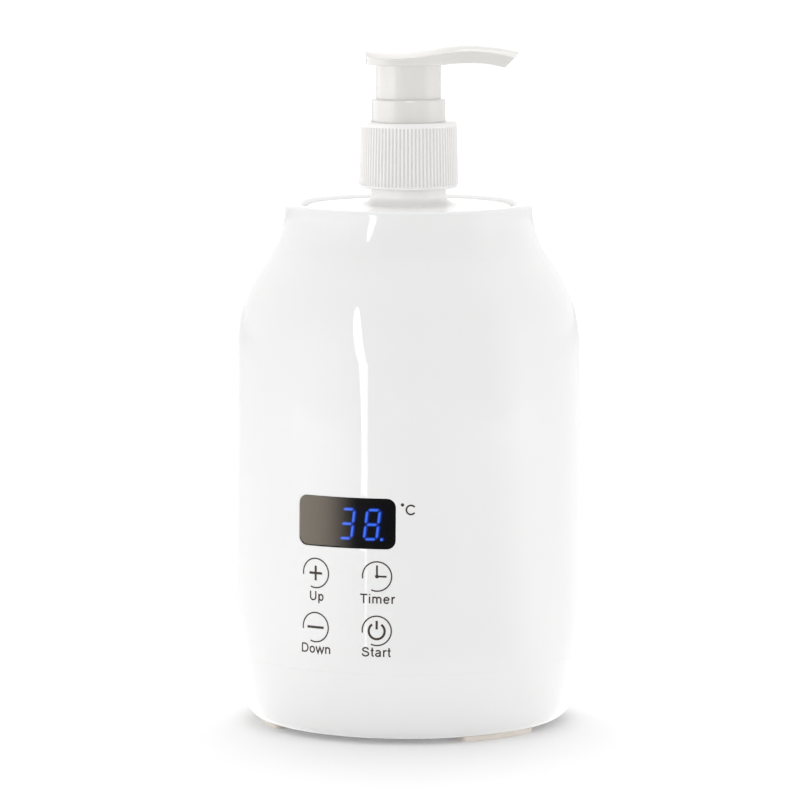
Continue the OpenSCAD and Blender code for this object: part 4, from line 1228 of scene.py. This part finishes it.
head = {"skirtR": 11, "skirtIn": 9.6, "skirtShow": 11.5, "skirtEase": 0.25, "skirtUp": 0.4, "skirtRoof": 1,
        "skirtColumns": 128, "turn": 21, "reach": 34.9, "tipHalf": 4.4, "padLong": 14.6, "padHalf": 12.8,
        "padHigh": 4.3, "padPower": 2.4, "padFrom": 1.2, "crest": 6.4, "crestX": 20.5, "tipDrop": 2.5,
        "crown": 1.9, "riseX": -6, "arch": 0.55, "archFrom": 11, "tipLow": 1, "slantFrom": 24,
        "taperShort": 1, "swell": 0.9, "edge": 0.5, "edgeUp": 0.12, "holeR": 1.3, "holeUp": 2.3,
        "holeDeep": 7, "holeFlare": 1.12, "holeEase": 0.2, "padSteps": 26, "spoutSteps": 44, "sharp": 45}
headZ = collarTop + head["skirtShow"]
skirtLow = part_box("pump_head")[0].z / mm


def ridge(x):
    h = head
    if x < h["crestX"]:
        share = ease((x - h["riseX"]) / (h["crestX"] - h["riseX"]))
        return h["padHigh"] + (h["crest"] - h["padHigh"]) * share
    return h["crest"] - h["tipDrop"] * ((x - h["crestX"]) / (h["reach"] - h["crestX"])) ** 2


def underside(x):
    h = head
    if x < h["archFrom"]:
        return 0.0
    if x < h["crestX"]:
        return h["arch"] * (1 - ((h["crestX"] - x) / (h["crestX"] - h["archFrom"])) ** 2)
    return h["arch"] - (h["arch"] + h["tipLow"]) * ((x - h["crestX"]) / (h["reach"] - h["crestX"])) ** 2


def halfWidth(x):
    h = head
    if x < 0:
        return h["padHalf"] * (1 - min(1, -x / h["padLong"]) ** h["padPower"]) ** (1 / h["padPower"])
    taper = 1 - ease(x / (h["crestX"] - h["taperShort"]))
    swell = ease(x / h["crestX"]) * (1 - ease((x - h["crestX"]) / (h["reach"] - h["crestX"])))
    return h["tipHalf"] + (h["padHalf"] - h["tipHalf"]) * taper + h["swell"] * swell


def leverSection(x):
    # crowned top, eased edges, upright sides and a flat underside
    w, top, low = halfWidth(x), ridge(x), underside(x)
    edge = top - head["crown"]
    e = min(head["edge"], w / 3)
    crown = [(y * w, edge + head["crown"] * (1 - y * y)) for y in spread(1 - e / w, -1 + e / w, 16)]
    upper = edge + head["edgeUp"]
    rightTop = edgeRound((w, upper), (w, low), crown[0], e, 3)
    leftTop = edgeRound((-w, upper), crown[-1], (-w, low), e, 3)
    leftLow = edgeRound((-w, low), (-w, upper), (0, low), e, 3)
    rightLow = edgeRound((w, low), (0, low), (w, upper), e, 3)
    return rightTop[:-1] + crown + leftTop[1:] + leftLow + rightLow


def slanted(x, h):
    # the tip is cut at a slant, so the end of the spout leans with height
    if x < head["slantFrom"]:
        return x
    share = ease((x - head["slantFrom"]) / (head["reach"] - head["slantFrom"]))
    return x + (h - (ridge(x) + underside(x)) / 2) * share


def headPoint(x, y, h):
    a = head["turn"]
    return Vector((x * cosd(a) - y * sind(a), x * sind(a) + y * cosd(a), headZ + h))


def spoutMouth(plan, outer, section):
    # the slanted end closes in on the oil hole, which runs on into the spout
    reach, r, up, flare = head["reach"], head["holeR"], head["holeUp"], head["holeFlare"]
    turns = [math.atan2(z - up, y) for y, z in section]
    circle = [(r * math.cos(t), up + r * math.sin(t)) for t in turns]
    eased = [(flare * y, up + (z - up) * flare) for y, z in circle]
    rings = [[headPoint(slanted(reach, z), y, z) for y, z in eased],
             [headPoint(slanted(reach, z) - head["holeEase"], y, z) for y, z in circle],
             [headPoint(reach - head["holeDeep"], y, z) for y, z in circle]]
    plan["faces"].append(joinRings(plan, outer, rings))


def makeSkirt():
    r, inR, e, low = head["skirtR"], head["skirtIn"], head["skirtEase"], skirtLow
    top, roof = headZ + head["skirtUp"], headZ - head["skirtRoof"]
    profile = joinRuns([(0, roof), (inR, roof)], edgeRound((inR, low), (inR, headZ), (r, low), e),
                       edgeRound((r, low), (inR, low), (r, headZ), e),
                       [(r, z) for z in spread(low + e, top, 6)], [(0, top)])
    return turnedPiece("skirtSeed", profile, head["skirtColumns"])


def makeHead():
    reach, sharp = head["reach"], head["sharp"]
    xs = [-head["padLong"] * cosd(a) for a in spread(head["padFrom"], 90, head["padSteps"])]
    xs += spread(0, reach, head["spoutSteps"])[1:]
    sections = [[headPoint(slanted(x, z), y, z) for y, z in leverSection(x)] for x in xs]
    plan = {"verts": [], "faces": []}
    first = addRing(plan, sections[0])
    last = joinRings(plan, first, sections[1:])
    plan["faces"].append(first)
    spoutMouth(plan, last, leverSection(reach))
    lever = makePiece("pumpHead", plan, sharp)
    combine(lever, makeSkirt(), "UNION")
    smoothShade(lever.data, sharp)
    return lever


pumpHead = dress(makeHead(), "actuator", pumpWhite, "pump_white", "pump_head")

spring = {"foot": 167.87, "stroke": 9.0, "clear": 0.15, "sharp": 50}  # the CAD's own coil, which keeps its length


def makeSpring():
    # the CAD's own coil as one joined mesh
    shape = bmesh.new()
    shape.from_mesh(nodes["return_spring"].data)
    bmesh.ops.remove_doubles(shape, verts=shape.verts, dist=tiny)
    piece = meshPiece("returnSpring", shape)
    smoothShade(piece.data, spring["sharp"])
    return piece


returnSpring = dress(makeSpring(), "spring", springSteel, "spring_steel", "return_spring")
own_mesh(returnSpring)
print("pump made")

# Pieces inside keep their own solids, each with its finish

insideGrain = (0.05, 0.08, 0.1)  # how the gloss varies, how far the tone drifts, and the relief
insideFinishes = [  # surface, colour, gloss, metal, and the pieces that have it
    ("moduleBlack", mattGrain, (0.012, 0.012, 0.013), 0.5, 0.0, ["display_module"]),
    ("boardGreen", mattGrain, (0.03, 0.16, 0.06), 0.4, 0.0, ["control_board", "power_board"]),
    ("chipBlack", mattGrain, (0.02, 0.02, 0.021), 0.5, 0.0,
     ["control_chips", "power_components", "buzzer", "temperature_sensor"]),
    ("padFoam", mattGrain, (0.12, 0.12, 0.125), 0.8, 0.0, ["touch_pads"]),
    ("sealSilicone", mouldedSkin, (0.7, 0.7, 0.69), 0.45, 0.0, ["mouth_seal", "neck_gasket"]),
    ("filmAmber", mouldedSkin, (0.55, 0.2, 0.02), 0.3, 0.0, ["heater_film"]),
    ("sleeveFelt", mattGrain, (0.72, 0.68, 0.58), 0.9, 0.0, ["insulation_sleeve"]),
    ("supportIvory", mouldedSkin, (0.72, 0.69, 0.58), 0.4, 0.0, ["cup_support", "thermal_fuse"]),
    ("leadRed", mouldedSkin, (0.35, 0.01, 0.008), 0.4, 0.0, ["heater_leads"]),
    ("leadBrass", drawnLines, (0.8, 0.62, 0.3), 0.3, 1.0, ["sensor_leads"]),
    ("ribbonGrey", mattGrain, (0.28, 0.28, 0.29), 0.5, 0.0, ["ribbon_cable"]),
    ("smallSteel", drawnLines, (0.6, 0.6, 0.61), 0.3, 1.0,
     ["board_screws", "power_board_screws", "jack_nut"]),
    ("pumpNatural", mouldedSkin, (0.78, 0.79, 0.78), 0.35, 0.0,
     ["pump_cylinder", "dip_tube", "pump_piston"]),
    ("stemWhite", mouldedSkin, (0.84, 0.838, 0.83), 0.25, 0.0, ["stem_guide", "pump_stem"]),
]
for name, group, colour, gloss, metal, held in insideFinishes:
    material = finish(name, group, colour, gloss, *insideGrain, Metallic=metal)
    for node in held:
        coat(nodes[node], material)
coat(nodes["inlet_ball"], springSteel)
print("inside pieces finished")

# Floor, lights and background

floor = {"radius": 14.0, "segments": 96, "colour": (0.9, 0.9, 0.9, 1), "rough": 0.9, "nearLift": 0.12,
         "farLift": 0.42, "near": 0.5, "far": 1.4, "own": 0.9, "shineNear": 0.07, "shineFar": 0.3,
         "glow": 1.1}
sky = {"level": 0.575, "bands": 0.13, "seen": 1.0}
bandTop = 5.0  # the ramp holds levels as shares of this
bandStops = [  # what gloss shows, by degrees from the camera: a dim front between two bright sides
    (-180, 1.45), (-170, 1.4), (-160, 1.2), (-143, 1.2), (-108, 1.85), (-70, 2.6), (-44, 2.1), (-19, 1.2),
    (7, 0.95), (34, 1.2), (54, 1.15), (66, 1.7), (80, 2.3), (110, 1.7), (139, 1.4), (160, 1.15), (170, 1.4),
    (180, 1.45)]
pumpPieces = [ribbedCap, pumpCollar, pumpHead]
sideBox = {"distance": 1200, "height": 250, "aim": 90, "wide": 900, "long": 440, "radiance": 1.35}
stripAt = {"azimuth": -26.3, "distance": 300, "shine": True, "spare": [windowPiece, *pumpPieces]}
lamps = {  # places from the camera's azimuth; a lamp that shines shows in gloss alone, on some pieces
    "sideLeft": {**sideBox, "azimuth": -62},
    "sideRight": {**sideBox, "azimuth": 62},
    "frontLow": {"azimuth": 0, "distance": 1500, "height": 210, "aim": 90, "wide": 900, "long": 360,
                 "radiance": 0.8},
    "topBox": {"azimuth": 180, "distance": 500, "height": 1400, "aim": 90, "wide": 1000, "long": 1000,
               "radiance": 2.7},
    "stripTop": {**stripAt, "across": -26, "height": 195, "wide": 30, "long": 256, "lean": 13,
                 "radiance": 4.6, "shape": "ELLIPSE"},
    "strip": {**stripAt, "across": 0.7, "height": 84, "wide": 19.5, "long": 62, "radiance": 4.6},
    "stripLow": {**stripAt, "across": 6.5, "height": 16, "wide": 6, "long": 74, "radiance": 3.4},
    "pumpBox": {"azimuth": -96, "distance": 500, "height": 230, "wide": 1150, "long": 440, "radiance": 1.15,
                "shine": True, "only": pumpPieces},
    "pumpTop": {"azimuth": 0, "distance": 1, "height": 830, "aim": 200, "wide": 700, "long": 700,
                "radiance": 1.5, "shine": True, "only": pumpPieces},
    "collarGlint": {"azimuth": 6, "distance": 700, "height": 650, "aim": 195, "wide": 380, "long": 620,
                    "radiance": 6, "shine": True, "only": [pumpCollar]},
    "windowCard": {"azimuth": -64, "distance": 500, "across": 48, "height": 52, "wide": 540, "long": 100,
                   "radiance": 25, "colour": (1.0, 0.87, 0.72), "softFrom": 0.48, "shine": True,
                   "only": [windowPiece]},
}


def studioBandsGroup():
    # brightness round the object by azimuth, evening out upwards
    inputs, outputs = [("Vector", "NodeSocketVector", None)], [("Level", "NodeSocketFloat")]
    tree, groupIn, groupOut = nodeTree("ShaderNodeTree", "studioBands", inputs, outputs)
    facing = (0, 0, math.radians(-photoView["azimuth"]))
    turned = addNode(tree, "ShaderNodeMapping",
                     {"Vector": groupIn.outputs["Vector"], "Rotation": facing}).outputs[0]
    xyz = addNode(tree, "ShaderNodeSeparateXYZ", {0: turned}).outputs
    angle = mathNode(tree, "ARCTAN2", xyz["X"], mathNode(tree, "MULTIPLY", xyz["Y"], -1.0))
    share = mapped(tree, angle, -math.pi, math.pi, 0.0, 1.0)
    low = mapped(tree, xyz["Z"], 0.0, 1.0, 1.0, 0.0)
    ramp = addNode(tree, "ShaderNodeValToRGB", {"Fac": share})
    stops = ramp.color_ramp.elements
    while len(stops) < len(bandStops):
        stops.new(0.5)
    for stop, (degrees, level) in zip(stops, bandStops):
        stop.position = (degrees + 180) / 360
        stop.color = (level / bandTop, level / bandTop, level / bandTop, 1)
    side = mathNode(tree, "MULTIPLY", ramp.outputs["Color"], bandTop)
    tree.links.new(mapped(tree, low, 0.0, 1.0, floor["own"], side), groupOut.inputs["Level"])
    return tree


studioBands = studioBandsGroup()


def raySigns(tree):
    # what is seen, also through the window, and what gloss shows
    path = addNode(tree, "ShaderNodeLightPath").outputs
    seen = mathNode(tree, "MAXIMUM", path["Is Camera Ray"], path["Is Transmission Ray"])
    return seen, path["Is Glossy Ray"]


def makeFloor():
    shape = bmesh.new()
    bmesh.ops.create_circle(shape, cap_ends=True, radius=floor["radius"], segments=floor["segments"])
    piece = meshPiece("floor", shape)
    material, tree, shader = newMaterial("paleFloor")
    seen, glossy = raySigns(tree)
    place = addNode(tree, "ShaderNodeTexCoord").outputs["Object"]
    away = lengthOf(tree, place)
    lift = mapped(tree, away, floor["near"], floor["far"], floor["nearLift"], floor["farLift"])
    bands = addNode(tree, "ShaderNodeGroup", {"Vector": place}, node_tree=studioBands).outputs["Level"]
    gloss = mapped(tree, away, floor["shineNear"], floor["shineFar"], floor["glow"],
                   mathNode(tree, "SUBTRACT", bands, floor["own"]))
    level = mathNode(tree, "ADD", mathNode(tree, "MULTIPLY", seen, lift),
                     mathNode(tree, "MULTIPLY", glossy, gloss))
    setInputs(tree, shader, {"Base Color": floor["colour"], "Roughness": floor["rough"],
                             "Specular IOR Level": 0.0, "Emission Color": level, "Emission Strength": 1.0})
    coat(piece, material)


def makeSky():
    world = bpy.data.worlds.new("studioSky")
    world.use_nodes = True
    tree = world.node_tree
    tree.nodes.clear()
    seen, glossy = raySigns(tree)
    place = addNode(tree, "ShaderNodeTexCoord").outputs["Generated"]
    bands = addNode(tree, "ShaderNodeGroup", {"Vector": place}, node_tree=studioBands).outputs["Level"]
    fill = mathNode(tree, "ADD", mathNode(tree, "MULTIPLY", bands, sky["bands"]), sky["level"])
    level = mapped(tree, seen, 0, 1, fill, sky["seen"])
    shown = addNode(tree, "ShaderNodeMix", {"Factor": glossy, "A": level, "B": bands}, data_type="FLOAT")
    light = addNode(tree, "ShaderNodeBackground", {"Color": shown.outputs["Result"], "Strength": 1.0})
    addNode(tree, "ShaderNodeOutputWorld", {"Surface": light.outputs[0]})
    scene.world = world


def makeLamp(name, azimuth, distance, height, wide, long, radiance, aim=None, across=0, lean=0,
             shape="RECTANGLE", colour=(1, 1, 1), shine=False, softFrom=None, only=None, spare=None):
    data = bpy.data.lights.new(name, "AREA")
    data.shape, data.color = shape, colour
    data.size, data.size_y = wide * mm, long * mm
    data.energy = radiance * math.pi * data.size * data.size_y
    lamp = addObject(name, data)
    turn = photoView["azimuth"] + azimuth
    lamp.location = around(turn, distance, height) + Vector((cosd(turn), sind(turn), 0)) * across * mm
    facing = Vector((0, 0, aim * mm)) - lamp.location if aim else -around(turn, distance, 0)
    leaning = Quaternion((0, 0, 1), math.radians(lean))
    lamp.rotation_euler = (facing.to_track_quat("-Z", "Y") @ leaning).to_euler()
    lamp.visible_camera = False
    lamp.visible_diffuse = not shine
    lamp.visible_glossy = shine
    if softFrom:
        softenSide(data, softFrom)
    if only or spare:
        linkPieces(lamp, only or spare, "INCLUDE" if only else "EXCLUDE")


def softenSide(data, start):
    # the lamp fades towards one side
    data.use_nodes = True
    tree = data.node_tree
    place = addNode(tree, "ShaderNodeNewGeometry").outputs["Parametric"]
    across = addNode(tree, "ShaderNodeSeparateXYZ", {0: place}).outputs["X"]
    fade = mapped(tree, across, start, 1.0, 1.0, 0.0, "SMOOTHSTEP")
    tree.links.new(fade, tree.nodes["Emission"].inputs["Strength"])


def linkPieces(lamp, pieces, state):
    group = bpy.data.collections.new(lamp.name + "Pieces")
    for k, piece in enumerate(pieces):
        group.objects.link(piece)
        group.collection_objects[k].light_linking.link_state = state
    lamp.light_linking.receiver_collection = group


makeFloor()
makeSky()
for name, values in lamps.items():
    makeLamp(name, **values)
scene.view_settings.view_transform = "Standard"
print("floor and lights placed")
